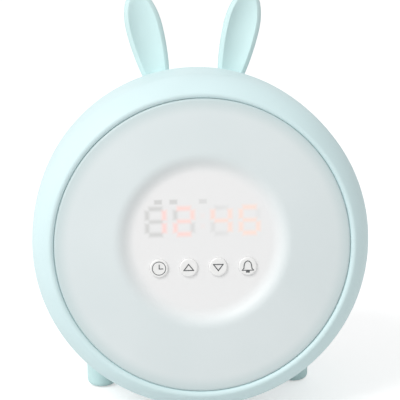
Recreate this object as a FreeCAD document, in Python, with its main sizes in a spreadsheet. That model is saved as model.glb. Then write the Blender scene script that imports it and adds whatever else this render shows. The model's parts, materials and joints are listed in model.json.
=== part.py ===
import FreeCAD, Part
import math
import os
import Sketcher
from FreeCAD import Vector

# A round bedside clock with a night light behind its frosted front panel.
# Lengths are in millimetres, +Z is up, and the origin lies on the table under the middle of the object.
# Most pieces are placed in the face frame: X to the right, Y (depth) into the body from the plane of
# the front rim, Z up along the front panel. The face frame leans back from the upright.

doc = FreeCAD.newDocument("RabbitEarClock")

# Driving dimensions
dimensions = {
    # Outer casing, turned about the face axis
    "lean": 6.0,
    "floor_gap": 0.9,
    "nose_radius": 1.8,
    "shoulder_radius": 7.5,
    "body_radius": 86.5,
    "widest_depth": 52.0,
    "body_depth": 108.0,
    "back_radius": 42.0,
    "back_corner": 27.0,
    "rim_inset": 12.5,
    "wall": 2.4,
    "lip_depth": 4.4,
    "seam_depth": 78.0,
    "seam_gap": 0.4,
    "tongue_length": 3.0,
    "tongue_wall": 1.2,
    "fit_gap": 0.1,
    "run_gap": 0.3,
    # Screws and bosses
    "case_boss_inset": 18.0,
    "case_boss_radius": 4.6,
    "case_boss_length": 26.0,
    "case_boss_reach": 5.0,
    "screw_radius": 1.4,
    "screw_head_radius": 2.6,
    "screw_head_height": 1.8,
    "pilot_gap": 0.05,
    "tip_gap": 0.2,
    "cut_over": 1.0,
    # Ears
    "ear_from_seam": 12.0,
    "ear_splay": 13.6,
    "ear_length": 45.5,
    "ear_widest": 25.0,
    "ear_width": 19.5,
    "ear_base_width": 14.6,
    "ear_thickness": 12.0,
    "ear_root": 6.0,
    "ear_rim": 2.6,
    "scoop_depth": 3.6,
    "scoop_bow": 4.8,
    "ear_peg_radius": 3.4,
    "ear_peg_length": 8.0,
    # Feet
    "foot_spread": 52.5,
    "rear_foot_spread": 26.0,
    "front_foot_back": 56.0,
    "rear_foot_back": 83.0,
    "foot_radius": 8.0,
    "foot_edge": 3.4,
    "foot_lift": 0.5,
    "pad_radius": 4.2,
    "pad_height": 1.2,
    "spigot_radius": 3.0,
    "spigot_height": 7.0,
    # Frosted front panel
    "panel_gap": 0.3,
    "panel_wall": 2.0,
    "panel_crown": 3.8,
    "panel_roll": 4.0,
    "panel_flange": 4.0,
    "flange_height": 2.2,
    "recess_rise": 3.0,
    "recess_floor_radius": 34.5,
    "recess_edge_radius": 42.5,
    "recess_depth": 4.5,
    "panel_screw_inset": 2.0,
    # Keys in the recess
    "key_pitch": 14.75,
    "key_drop": 10.2,
    "key_radius": 4.65,
    "key_proud": 1.0,
    "key_edge": 0.6,
    "key_flange": 1.1,
    "key_flange_height": 1.0,
    "key_travel": 0.8,
    "stem_radius": 1.9,
    # Display
    "display_rise": 13.0,
    "display_width": 60.0,
    "display_height": 20.0,
    "display_gap": 0.5,
    "frame_wall": 1.5,
    "board_thickness": 1.6,
    "face_board_depth": 10.5,
    "face_board_radius": 36.5,
    "face_post_circle": 32.6,
    "face_post_radius": 2.6,
    "switch_side": 6.0,
    "switch_height": 3.4,
    "plunger_height": 1.0,
    "plunger_radius": 1.7,
    # Lamp behind the panel
    "lamp_gap": 3.0,
    "lamp_width": 20.0,
    "lamp_depth": 16.0,
    "led_side": 5.0,
    "led_height": 1.6,
    "lamp_screw_inset": 3.5,
    "tray_wall": 2.0,
    "tray_inset": 3.0,
    "tray_hole_radius": 12.0,
    # Battery and its cradle
    "cell_radius": 9.2,
    "cell_length": 65.0,
    "cell_drop": 34.0,
    "cradle_wall": 2.0,
    "cradle_screw_inset": 9.0,
    "strap_width": 12.0,
    "strap_wall": 1.2,
    # Rear of the casing
    "speaker_rise": 17.0,
    "speaker_radius": 20.0,
    "speaker_height": 17.0,
    "speaker_rim": 3.0,
    "magnet_radius": 11.0,
    "magnet_height": 7.0,
    "basket_wall": 0.8,
    "speaker_post_radius": 2.4,
    "grille_hole_radius": 1.1,
    "grille_pitch": 4.2,
    "main_board_width": 72.0,
    "main_board_height": 30.0,
    "main_board_drop": 23.0,
    "main_board_stand": 9.0,
    "board_inset": 4.0,
    "main_post_radius": 3.0,
    "rear_key_spread": 19.0,
    "rear_key_drop": 20.0,
    "usb_drop": 31.0,
    "usb_width": 9.0,
    "usb_height": 3.3,
    "usb_inset": 1.0,
    "usb_wall": 0.4,
    "usb_mouth_depth": 6.0,
    "usb_tongue_inset": 1.1,
    "usb_tongue_height": 0.7,
    "wide_chip_side": 10.0,
    "narrow_chip_width": 6.0,
    "narrow_chip_height": 5.0,
    "chip_thickness": 1.6,
    "chip_spread": 9.0,
    # Leads
    "battery_lead_radius": 0.7,
    "fine_lead_radius": 0.6,
    "lead_pitch": 2.4,
    "battery_lead_place": 16.0,
    "battery_lead_shift": 6.0,
    "battery_lead_run": 16.0,
    "battery_lead_end": 40.0,
    "speaker_lead_place": 3.0,
    "speaker_lead_shift": 3.0,
    "speaker_lead_run": 14.0,
    "speaker_lead_drop": 12.0,
    "face_lead_shift": 4.0,
    "face_lead_drop": 6.0,
    "face_lead_run": 22.0,
    "face_lead_bend": 54.0,
    "face_lead_end": 16.0,
}

# Counts
panel_screw_count = 6
led_count = 16
lamp_screw_count = 4
grille_rings = 3


class Value:
    # A number together with the formula that the document keeps for it
    def __init__(self, number, formula):
        self.number = number
        self.formula = formula

    def __add__(self, other):
        other = value(other)
        return Value(self.number + other.number, f"({self.formula} + {other.formula})")

    def __sub__(self, other):
        other = value(other)
        return Value(self.number - other.number, f"({self.formula} - {other.formula})")

    def __mul__(self, other):
        other = value(other)
        return Value(self.number * other.number, f"({self.formula} * {other.formula})")

    def __truediv__(self, other):
        other = value(other)
        return Value(self.number / other.number, f"({self.formula} / {other.formula})")

    def __radd__(self, other):
        return value(other) + self

    def __rsub__(self, other):
        return value(other) - self

    def __rmul__(self, other):
        return value(other) * self

    def __neg__(self):
        return value(0) - self


def value(item):
    if isinstance(item, Value):
        return item
    return Value(float(item), repr(float(item)))


def root(item):
    return Value(math.sqrt(item.number), f"sqrt({item.formula})")


def sine(degrees):
    return Value(math.sin(math.radians(degrees.number)), f"sin({degrees.formula} * 1 deg)")


def cosine(degrees):
    return Value(math.cos(math.radians(degrees.number)), f"cos({degrees.formula} * 1 deg)")


class Sizes:
    pass


# The sheet holds every driving dimension, and size gives each one by name
sheet = doc.addObject("Spreadsheet::Sheet", "Size")
size = Sizes()
for row, (name, number) in enumerate(dimensions.items(), start=1):
    sheet.set(f"A{row}", name)
    sheet.set(f"B{row}", str(number))
    sheet.setAlias(f"B{row}", name)
    setattr(size, name, Value(number, f"Size.{name}"))
doc.recompute()

parts = {}


def keep(name, item):
    item.Label = name
    parts[name] = item
    return item


# Placement helpers

def placementText(x, y, z, axis, degrees):
    x, y, z, degrees = value(x), value(y), value(z), value(degrees)
    move = f"create(<<vector>>; {x.formula}; {y.formula}; {z.formula})"
    turnAxis = f"create(<<vector>>; {axis[0]}; {axis[1]}; {axis[2]})"
    turn = f"create(<<rotation>>; {turnAxis}; {degrees.formula})"
    return f"create(<<placement>>; {move}; {turn})"


alongX = (1, 0, 0)
alongY = (0, 1, 0)


def inFace(item, x=0, depth=0, height=0, axis=alongX, degrees=0, ear=None):
    # Places an item in the face frame, or in an ear's frame within it
    frame = "FaceFrame.Placement" if ear is None else ear.Name + ".Placement"
    item.setExpression("Placement", f"{frame} * {placementText(x, depth, height, axis, degrees)}")
    return item


def inWorld(item, x=0, y=0, z=0, axis=alongX, degrees=0):
    item.setExpression("Placement", placementText(x, y, z, axis, degrees))
    return item


# Primitive helpers

def rod(name, radius, start, length, x=0, height=0):
    # A cylinder along the depth axis, from the start depth inwards
    item = doc.addObject("Part::Cylinder", name)
    item.setExpression("Radius", value(radius).formula)
    item.setExpression("Height", value(length).formula)
    return inFace(item, x, start, height, alongX, -90)


def post(name, radius, length, x, y, z):
    # An upright cylinder that stands at a place on the table frame
    item = doc.addObject("Part::Cylinder", name)
    item.setExpression("Radius", value(radius).formula)
    item.setExpression("Height", value(length).formula)
    return inWorld(item, x, y, z)


def earRod(name, radius, start, length, ear):
    # A cylinder along an ear's own axis
    item = doc.addObject("Part::Cylinder", name)
    item.setExpression("Radius", value(radius).formula)
    item.setExpression("Height", value(length).formula)
    return inFace(item, 0, 0, start, alongX, 0, ear)


def block(name, width, depth, height, x, start, z):
    # A box centred on x and z that reaches from the start depth inwards
    item = doc.addObject("Part::Box", name)
    width, depth, height, x, z = value(width), value(depth), value(height), value(x), value(z)
    item.setExpression("Length", width.formula)
    item.setExpression("Width", depth.formula)
    item.setExpression("Height", height.formula)
    return inFace(item, x - width / 2, start, z - height / 2)


def fuse(name, items):
    item = doc.addObject("Part::MultiFuse", name)
    item.Shapes = items
    return item


def gather(name, items):
    # Separate solids that share one node
    item = doc.addObject("Part::Compound", name)
    item.Links = items
    return item


def cut(name, base, tools):
    item = doc.addObject("Part::Cut", name)
    item.Base = base
    item.Tool = tools[0] if len(tools) == 1 else fuse(name + "_tools", tools)
    return item


def common(name, items):
    item = doc.addObject("Part::MultiCommon", name)
    item.Shapes = items
    return item


# Turned pieces: an outline of radius and depth points, turned about the depth axis

class Centre:
    # Joins the points before and after it by an arc about this centre
    def __init__(self, radius, depth):
        self.place = (value(radius), value(depth))


def bind(sketch, constraint, formula):
    index = sketch.addConstraint(constraint)
    sketch.setExpression(f"Constraints[{index}]", formula)


def pin(sketch, geometry, end, point):
    across, along = point
    bind(sketch, Sketcher.Constraint("DistanceX", -1, 1, geometry, end, across.number), across.formula)
    bind(sketch, Sketcher.Constraint("DistanceY", -1, 1, geometry, end, along.number), along.formula)


def flat(point):
    return Vector(point[0].number, point[1].number, 0)


def drawArc(sketch, start, end, centre):
    middle = flat(centre)
    toStart = flat(start) - middle
    toEnd = flat(end) - middle
    if toStart.cross(toEnd).z < 0:
        start, end = end, start
        toStart, toEnd = toEnd, toStart
    circle = Part.Circle(middle, Vector(0, 0, 1), toStart.Length)
    first = math.atan2(toStart.y, toStart.x)
    last = math.atan2(toEnd.y, toEnd.x)
    geometry = sketch.addGeometry(Part.ArcOfCircle(circle, first, last), False)
    across = start[0] - centre[0]
    along = start[1] - centre[1]
    radius = root(across * across + along * along)
    pin(sketch, geometry, 1, start)
    pin(sketch, geometry, 2, end)
    bind(sketch, Sketcher.Constraint("Radius", geometry, radius.number), radius.formula)


def drawOutline(sketch, outline):
    points = []
    centres = {}
    for item in outline:
        if isinstance(item, Centre):
            centres[len(points) - 1] = item.place
        else:
            points.append((value(item[0]), value(item[1])))
    for index, start in enumerate(points):
        end = points[(index + 1) % len(points)]
        if index in centres:
            drawArc(sketch, start, end, centres[index])
        else:
            geometry = sketch.addGeometry(Part.LineSegment(flat(start), flat(end)), False)
            pin(sketch, geometry, 1, start)
            pin(sketch, geometry, 2, end)


def originPlane(body, role):
    return next(item for item in body.Origin.OriginFeatures if item.Role == role)


def turned(name, outline):
    body = doc.addObject("PartDesign::Body", name)
    sketch = body.newObject("Sketcher::SketchObject", name + "_outline")
    sketch.AttachmentSupport = (originPlane(body, "XY_Plane"), [""])
    sketch.MapMode = "FlatFace"
    drawOutline(sketch, outline)
    revolution = body.newObject("PartDesign::Revolution", name + "_turn")
    revolution.Profile = sketch
    revolution.ReferenceAxis = (sketch, ["V_Axis"])
    revolution.Angle = 360
    body.Tip = revolution
    return body


def bridgeRadius(across, along, inner):
    # Radius of the arc that leaves a straight start, spans across and along, and meets an inner circle
    return (across * across + along * along - inner * inner) / ((across - inner) * 2)


# Casing curve: the outer surface, or a surface that lies an inset inside it

rim_radius = size.body_radius - size.rim_inset
nose_centre = rim_radius + size.nose_radius
flank_radius = bridgeRadius(size.body_radius - nose_centre, size.widest_depth - size.shoulder_radius,
                            size.shoulder_radius)
back_run = size.body_depth - size.back_corner - size.widest_depth
back_arc = bridgeRadius(size.body_radius - size.back_radius, back_run, size.back_corner)


class Casing:
    def __init__(self, inset):
        inset = value(inset)
        self.inset = inset
        self.shoulder = (nose_centre, size.shoulder_radius)
        self.flank = (size.body_radius - flank_radius, size.widest_depth)
        self.back = (size.body_radius - back_arc, size.widest_depth)
        self.corner = (size.back_radius, size.body_depth - size.back_corner)
        self.shoulder_end = self.meet(self.flank, self.shoulder, flank_radius - inset,
                                      flank_radius - size.shoulder_radius)
        self.widest = (size.body_radius - inset, size.widest_depth)
        self.corner_start = self.meet(self.back, self.corner, back_arc - inset, back_arc - size.back_corner)
        self.corner_end = (size.back_radius, size.body_depth - inset)

    def meet(self, origin, toward, length, distance):
        across = origin[0] + (toward[0] - origin[0]) * (length / distance)
        along = origin[1] + (toward[1] - origin[1]) * (length / distance)
        return (across, along)

    def shoulderAt(self, depth):
        reach = size.shoulder_radius - self.inset
        drop = size.shoulder_radius - depth
        return (nose_centre + root(reach * reach - drop * drop), value(depth))

    def backAt(self, depth):
        reach = back_arc - self.inset
        drop = depth - size.widest_depth
        return (self.back[0] + root(reach * reach - drop * drop), value(depth))


outer = Casing(0)
inner = Casing(size.wall)
middle = Casing(size.wall / 2)

# The face frame: its height clears the table under the lowest point of the casing, and its place
# front to back centres the whole object over the origin
lowest = back_arc + (size.body_radius - back_arc) * cosine(size.lean) + size.widest_depth * sine(size.lean)
face_height = lowest + size.floor_gap
front_reach = (size.shoulder_radius + nose_centre * sine(size.lean)
               - size.shoulder_radius * cosine(size.lean))
corner_depth = size.body_depth - size.back_corner
back_reach = (size.back_corner + corner_depth * cosine(size.lean) + size.back_radius * sine(size.lean))
face_y = (front_reach - back_reach) / 2

face_frame = doc.addObject("App::Placement", "FaceFrame")
face_frame.setExpression("Placement", placementText(0, face_y, face_height, alongX, -size.lean))

# Solids that other pieces are trimmed with
outer_solid = inFace(turned("outer_solid", [
    (0, 0),
    (nose_centre, 0), Centre(*outer.shoulder),
    outer.shoulder_end, Centre(*outer.flank),
    outer.widest, Centre(*outer.back),
    outer.corner_start, Centre(*outer.corner),
    outer.corner_end,
    (0, size.body_depth),
]))
core_start = size.lip_depth + size.cut_over
core_solid = inFace(turned("core_solid", [
    (0, core_start),
    middle.shoulderAt(core_start), Centre(*middle.shoulder),
    middle.shoulder_end, Centre(*middle.flank),
    middle.widest, Centre(*middle.back),
    middle.corner_start, Centre(*middle.corner),
    middle.corner_end,
    (0, size.body_depth - size.wall / 2),
]))

ear_depth = size.seam_depth - size.ear_from_seam

# Ear frames: each ear stands square on the casing, splayed from the top
ear_base_radius = outer.backAt(ear_depth)[0]
ears = {}
for side, sign in (("left", -1), ("right", 1)):
    frame = doc.addObject("App::Placement", f"EarFrame_{side}")
    lean_out = size.ear_splay * sign
    inFace(frame, ear_base_radius * sine(lean_out), ear_depth, ear_base_radius * cosine(lean_out),
           alongY, lean_out)
    ears[side] = frame

# Casing: front shell

shoulder_inside = inner.shoulderAt(size.lip_depth)
front_wall = turned("front_wall", [
    (rim_radius, size.nose_radius), Centre(nose_centre, size.nose_radius),
    (nose_centre, 0), Centre(*outer.shoulder),
    outer.shoulder_end, Centre(*outer.flank),
    outer.widest, Centre(*outer.back),
    outer.backAt(size.seam_depth),
    inner.backAt(size.seam_depth), Centre(*inner.back),
    inner.widest, Centre(*inner.flank),
    inner.shoulder_end, Centre(*inner.shoulder),
    shoulder_inside,
    (rim_radius, size.lip_depth),
])
inFace(front_wall)

# Case screws run from the back into bosses on the side wall of the front shell
case_boss_circle = size.body_radius - size.case_boss_inset
case_boss_split = size.seam_depth + size.case_boss_reach
boss_places = []
for index in range(4):
    angle = math.radians(45 + 90 * index)
    boss_places.append((case_boss_circle * math.cos(angle), case_boss_circle * math.sin(angle)))
boss_start = case_boss_split - size.case_boss_length
# The webs stop short of the rear shell's tongue
web_length = size.seam_depth - size.tongue_length - size.run_gap - boss_start
bosses = []
boss_pilots = []
for index, (x, z) in enumerate(boss_places):
    bosses.append(rod(f"boss_{index}", size.case_boss_radius, boss_start, size.case_boss_length, x, z))
    web = doc.addObject("Part::Box", f"boss_web_{index}")
    web.setExpression("Length", size.case_boss_inset.formula)
    web.setExpression("Width", web_length.formula)
    web.setExpression("Height", size.wall.formula)
    angle = value(45 + 90 * index)
    offset = size.wall / 2
    inFace(web, x + offset * sine(angle), boss_start, z - offset * cosine(angle), alongY, -angle)
    bosses.append(web)
    boss_pilots.append(rod(f"boss_pilot_{index}", size.screw_radius + size.pilot_gap, boss_start + size.wall,
                           size.case_boss_length, x, z))

# Pockets in the lip for the panel screws
panel_screw_circle = rim_radius + size.panel_screw_inset
panel_screw_places = []
for index in range(panel_screw_count):
    angle = math.radians(360 / panel_screw_count * (index + 0.5))
    panel_screw_places.append((panel_screw_circle * math.cos(angle), panel_screw_circle * math.sin(angle)))
screw_tip = size.nose_radius + size.tip_gap
lip_pilots = [rod(f"lip_pilot_{index}", size.screw_radius + size.pilot_gap, screw_tip, size.lip_depth, x, z)
              for index, (x, z) in enumerate(panel_screw_places)]

# Holes for the ears' pegs and for the spigots of the feet
ear_holes = {}
for side, frame in ears.items():
    ear_holes[side] = earRod(f"ear_hole_{side}", size.ear_peg_radius + size.fit_gap,
                             -size.ear_peg_length, size.ear_peg_length * 2, frame)

foot_places = {
    "front_left": (-size.foot_spread, size.front_foot_back),
    "front_right": (size.foot_spread, size.front_foot_back),
    "rear_left": (-size.rear_foot_spread, size.rear_foot_back),
    "rear_right": (size.rear_foot_spread, size.rear_foot_back),
}


def skinHeight(spread, back):
    # Height of the casing's underside above a foot, near enough for the foot's spigot
    drop = root(size.body_radius * size.body_radius - spread * spread)
    depth = back * cosine(size.lean) + drop * sine(size.lean)
    radius = outer.backAt(depth)[0]
    drop = root(radius * radius - spread * spread)
    return face_height - drop * cosine(size.lean) - depth * sine(size.lean)


foot_holes = {}
for name, (x, back) in foot_places.items():
    foot_holes[name] = post(f"foot_hole_{name}", size.spigot_radius + size.fit_gap,
                            skinHeight(x, back) + size.spigot_height * 2, x, face_y + back, 0)

front_inside = common("front_inside", [core_solid, fuse("front_bosses", bosses)])
front_body = fuse("front_body", [front_wall, front_inside])
keep("front_shell", cut("front_shell_body", front_body, boss_pilots + lip_pilots + [
    ear_holes["left"], ear_holes["right"], foot_holes["front_left"], foot_holes["front_right"]]))

# Casing: rear shell

tongue_outer = inner.backAt(size.seam_depth)[0] - size.fit_gap
rear_start = size.seam_depth + size.seam_gap
rear_wall = turned("rear_wall", [
    outer.backAt(rear_start), Centre(*outer.back),
    outer.corner_start, Centre(*outer.corner),
    outer.corner_end,
    (0, size.body_depth),
    (0, size.body_depth - size.wall),
    inner.corner_end, Centre(*inner.corner),
    inner.corner_start, Centre(*inner.back),
    inner.backAt(size.seam_depth + size.tongue_length),
    (tongue_outer - size.tongue_wall, size.seam_depth - size.tongue_length),
    (tongue_outer, size.seam_depth - size.tongue_length),
    (tongue_outer, rear_start),
])
inFace(rear_wall)

back_inside = size.body_depth - size.wall
rear_solids = []
rear_holes = []
seat_depth = case_boss_split + size.run_gap
for index, (x, z) in enumerate(boss_places):
    rear_solids.append(rod(f"case_tube_{index}", size.case_boss_radius, seat_depth,
                           size.body_depth - seat_depth, x, z))
    rear_holes.append(rod(f"case_clear_{index}", size.screw_radius + size.fit_gap,
                          seat_depth - size.cut_over, size.body_depth - seat_depth, x, z))
    rear_holes.append(rod(f"case_counterbore_{index}", size.screw_head_radius + size.run_gap,
                          seat_depth + size.wall, size.body_depth - seat_depth, x, z))

# Stand-offs of the main board
main_board_rear = back_inside - size.main_board_stand
main_board_depth = main_board_rear - size.board_thickness
main_post_places = []
for across in (-1, 1):
    for up in (-1, 1):
        main_post_places.append((
            (size.main_board_width / 2 - size.board_inset) * across,
            (size.main_board_height / 2 - size.board_inset) * up - size.main_board_drop))
main_post_length = size.body_depth - main_board_rear
for index, (x, z) in enumerate(main_post_places):
    rear_solids.append(rod(f"main_post_{index}", size.main_post_radius, main_board_rear, main_post_length,
                           x, z))
    rear_holes.append(rod(f"main_pilot_{index}", size.screw_radius + size.pilot_gap,
                          main_board_rear - size.cut_over,
                          main_post_length - size.wall * 2 + size.cut_over, x, z))

# Speaker seat and grille
speaker_screw_circle = size.speaker_radius + size.speaker_post_radius + size.fit_gap
speaker_flange_front = back_inside - size.basket_wall * 2
speaker_post_places = []
for index in range(3):
    angle = math.radians(90 + 120 * index)
    speaker_post_places.append((speaker_screw_circle * math.cos(angle),
                                speaker_screw_circle * math.sin(angle) + size.speaker_rise))
for index, (x, z) in enumerate(speaker_post_places):
    rear_solids.append(rod(f"speaker_post_{index}", size.speaker_post_radius, speaker_flange_front,
                           size.body_depth - speaker_flange_front, x, z))
    rear_holes.append(rod(f"speaker_pilot_{index}", size.screw_radius + size.pilot_gap,
                          speaker_flange_front - size.cut_over, size.wall + size.cut_over, x, z))
for ring in range(grille_rings + 1):
    around = max(1, 6 * ring)
    for step in range(around):
        angle = math.radians(360 / around * step)
        rear_holes.append(rod(f"grille_hole_{ring}_{step}", size.grille_hole_radius,
                              back_inside - size.cut_over, size.wall + size.cut_over * 2,
                              size.grille_pitch * ring * math.cos(angle),
                              size.grille_pitch * ring * math.sin(angle) + size.speaker_rise))

# Openings for the rear keys and the charging socket
rear_key_places = {"light_button": -size.rear_key_spread, "sound_button": size.rear_key_spread}
for name, x in rear_key_places.items():
    rear_holes.append(rod(f"{name}_hole", size.key_radius + size.run_gap,
                          back_inside - size.cut_over, size.wall + size.cut_over * 2, x,
                          -size.rear_key_drop))
rear_holes.append(block("usb_hole", size.usb_width + size.run_gap * 2,
                        size.wall + size.cut_over * 2, size.usb_height + size.run_gap * 2, 0,
                        back_inside - size.cut_over, -size.usb_drop))

rear_inside = common("rear_inside", [core_solid, fuse("rear_posts", rear_solids)])
rear_body = fuse("rear_body", [rear_wall, rear_inside])
keep("rear_shell", cut("rear_shell_body", rear_body,
                       rear_holes + [foot_holes["rear_left"], foot_holes["rear_right"]]))


# Screws: a pan head and a plain shank, as one solid each

def screw(name, start, length, x, z, head_first=True):
    # The head's under side lies at the start depth, and the shank runs on from it
    radius = size.screw_head_radius
    head_start = start - size.screw_head_height if head_first else start
    head = rod(f"{name}_head", radius, head_start, size.screw_head_height, x, z)
    shank_start = start if head_first else start - length
    shank = rod(f"{name}_shank", size.screw_radius, shank_start, length, x, z)
    return fuse(name, [head, shank])


case_screws = []
case_screw_length = size.wall + size.run_gap + size.case_boss_length / 2
for index, (x, z) in enumerate(boss_places):
    case_screws.append(screw(f"case_screw_{index}", seat_depth + size.wall, case_screw_length, x, z,
                             head_first=False))
keep("case_screws", gather("case_screw_set", case_screws))


# Ears: a half outline turned about the ear's axis and flattened, with a scooped front

def flattenedTurn(half_width, half_base, length, widest, start, thickness):
    # The tip is a quarter ellipse, and the side is an arc that narrows towards the base
    bulge = (widest ** 2 + (half_width - half_base) ** 2) / (2 * (half_width - half_base))

    def sidePoint(height):
        return Vector(half_width - bulge + math.sqrt(bulge ** 2 - (widest - height) ** 2), 0, height)

    side = Part.Arc(sidePoint(start), sidePoint((start + widest) / 2), sidePoint(widest))
    ellipse = Part.Ellipse(Vector(0, 0, length), Vector(half_width, 0, widest), Vector(0, 0, widest))
    edges = [
        Part.LineSegment(Vector(0, 0, start), sidePoint(start)).toShape(),
        side.toShape(),
        Part.ArcOfEllipse(ellipse, 0, math.pi / 2).toShape(),
        Part.LineSegment(Vector(0, 0, length), Vector(0, 0, start)).toShape(),
    ]
    blank = Part.Face(Part.Wire(Part.__sortEdges__(edges))).revolve(Vector(0, 0, 0), Vector(0, 0, 1), 360)
    flatten = FreeCAD.Matrix()
    flatten.scale(1, thickness / (half_width * 2), 1)
    return blank.transformGeometry(flatten)


def earShape():
    half_width = size.ear_width.number / 2
    half_base = size.ear_base_width.number / 2
    rim = size.ear_rim.number
    start = -size.ear_root.number
    widest = size.ear_widest.number
    thickness = size.ear_thickness.number
    blank = flattenedTurn(half_width, half_base, size.ear_length.number, widest, start, thickness)
    scoop_bow = size.scoop_bow.number
    scoop = flattenedTurn(half_width - rim, half_base - rim, size.ear_length.number - rim, widest,
                          start - rim, scoop_bow * 2)
    scoop.translate(Vector(0, size.scoop_depth.number - thickness / 2 - scoop_bow, 0))
    return blank.cut(scoop)


for side, frame in ears.items():
    blank = doc.addObject("Part::Feature", f"ear_blank_{side}")
    blank.Shape = earShape()
    inFace(blank, ear=frame)
    peg = earRod(f"ear_peg_{side}", size.ear_peg_radius, -size.ear_peg_length, size.ear_peg_length, frame)
    pilot = earRod(f"ear_pilot_{side}", size.screw_radius + size.pilot_gap, -size.ear_peg_length,
                   size.ear_peg_length, frame)
    seated = cut(f"ear_seated_{side}", blank, [outer_solid])
    keep(f"ear_{side}", cut(f"ear_{side}_body", fuse(f"ear_joined_{side}", [seated, peg]), [pilot]))

ear_screws = []
for side, frame in ears.items():
    head = earRod(f"ear_screw_head_{side}", size.screw_head_radius,
                  -size.ear_peg_length - size.screw_head_height, size.screw_head_height, frame)
    shank = earRod(f"ear_screw_shank_{side}", size.screw_radius, -size.ear_peg_length,
                   size.ear_peg_length - size.cut_over, frame)
    ear_screws.append(fuse(f"ear_screw_{side}", [head, shank]))
keep("ear_screws", gather("ear_screw_set", ear_screws))

# Feet: upright stubs whose tops follow the casing, each on a spigot with a screw from inside

pads = []
foot_screws = []
for name, (x, back) in foot_places.items():
    stub = turned(f"foot_stub_{name}", [
        (0, size.pad_height),
        (size.pad_radius + size.fit_gap, size.pad_height),
        (size.pad_radius + size.fit_gap, size.foot_lift),
        (size.foot_radius - size.foot_edge, size.foot_lift),
        Centre(size.foot_radius - size.foot_edge, size.foot_lift + size.foot_edge),
        (size.foot_radius, size.foot_lift + size.foot_edge),
        (size.foot_radius, face_height),
        (0, face_height),
    ])
    inWorld(stub, x, face_y + back, 0, alongX, 90)
    spigot_top = skinHeight(x, back) + size.spigot_height
    spigot = post(f"foot_spigot_{name}", size.spigot_radius, spigot_top - size.pad_height, x,
                  face_y + back, size.pad_height)
    screw_reach = size.spigot_height
    pilot = post(f"foot_pilot_{name}", size.screw_radius + size.pilot_gap, screw_reach, x,
                 face_y + back, spigot_top - screw_reach)
    seated = cut(f"foot_seated_{name}", stub, [outer_solid])
    keep(f"foot_{name}", cut(f"foot_{name}_body", fuse(f"foot_joined_{name}", [seated, spigot]), [pilot]))
    pads.append(post(f"foot_pad_{name}", size.pad_radius, size.pad_height, x, face_y + back, 0))
    head = post(f"foot_screw_head_{name}", size.screw_head_radius, size.screw_head_height, x,
                face_y + back, spigot_top)
    shank = post(f"foot_screw_shank_{name}", size.screw_radius, screw_reach - size.cut_over, x,
                 face_y + back, spigot_top - screw_reach + size.cut_over)
    foot_screws.append(fuse(f"foot_screw_{name}", [head, shank]))
keep("foot_pads", gather("foot_pad_set", pads))
keep("foot_screws", gather("foot_screw_set", foot_screws))

# Frosted front panel: a shallow dome whose edge rolls back behind the lip, with a round recess

panel_edge = rim_radius - size.panel_gap
roll_centre = (panel_edge - size.panel_roll, size.lip_depth)
dome_radius = bridgeRadius(size.lip_depth + size.panel_crown, roll_centre[0], size.panel_roll)
dome_centre = dome_radius - size.panel_crown
flange_radius = rim_radius + size.panel_flange
flange_back = size.lip_depth + size.flange_height


def domeMeet(inset):
    # Where the dome runs into the rolled edge
    share = (dome_radius - inset) / (dome_radius - size.panel_roll)
    return (roll_centre[0] * share, dome_centre + (size.lip_depth - dome_centre) * share)


panel_outside = inFace(turned("panel_outside", [
    (0, -size.panel_crown), Centre(0, dome_centre),
    domeMeet(0), Centre(*roll_centre),
    (panel_edge, size.lip_depth),
    (flange_radius, size.lip_depth),
    (flange_radius, flange_back),
    (0, flange_back),
]))
panel_hollow = inFace(turned("panel_hollow", [
    (0, size.panel_wall - size.panel_crown), Centre(0, dome_centre),
    domeMeet(size.panel_wall), Centre(*roll_centre),
    (panel_edge - size.panel_wall, size.lip_depth),
    (panel_edge - size.panel_wall, flange_back + size.cut_over),
    (0, flange_back + size.cut_over),
]))

# The recess: a flat floor and two tangent arcs that rise to the dome
floor_depth = size.recess_depth - size.panel_crown
edge_radius = size.recess_edge_radius
edge_depth = dome_centre - root(dome_radius * dome_radius - edge_radius * edge_radius)
recess_run = size.recess_edge_radius - size.recess_floor_radius
recess_fall = floor_depth - edge_depth
recess_bend = (recess_run * recess_run + recess_fall * recess_fall) / (recess_fall * 4)
recess_front = -size.panel_crown * 2
recess_reach = size.recess_edge_radius + size.panel_crown * 2


def recessTool(name, inset):
    # The space in front of the recess, or that space deepened by the panel's wall
    share = inset / (recess_bend * 2)
    middle_radius = (size.recess_floor_radius + size.recess_edge_radius) / 2 + recess_run * share
    middle_depth = (floor_depth + edge_depth) / 2 + (recess_bend * 2 - recess_fall) * share
    return inFace(turned(name, [
        (0, recess_front),
        (0, floor_depth + inset),
        (size.recess_floor_radius, floor_depth + inset),
        Centre(size.recess_floor_radius, floor_depth - recess_bend),
        (middle_radius, middle_depth),
        Centre(size.recess_edge_radius, edge_depth + recess_bend),
        (size.recess_edge_radius, edge_depth + inset),
        (recess_reach, edge_depth + inset),
        (recess_reach, recess_front),
    ]), 0, 0, size.recess_rise)


panel_front = cut("panel_front", panel_outside, [recessTool("recess", value(0))])
panel_inside = cut("panel_inside", panel_hollow, [recessTool("recess_behind", size.panel_wall)])
panel_skin = cut("panel_skin", panel_front, [panel_inside])

key_names = ["clock_button", "up_button", "down_button", "alarm_button"]
key_places = {}
for index, name in enumerate(key_names):
    key_places[name] = size.key_pitch * (index - (len(key_names) - 1) / 2)
floor_inside = floor_depth + size.panel_wall
key_holes = []
for name, x in key_places.items():
    key_holes.append(rod(f"{name}_hole", size.key_radius + size.run_gap, floor_depth - size.cut_over,
                         size.panel_wall + size.cut_over * 2, x, -size.key_drop))

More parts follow.
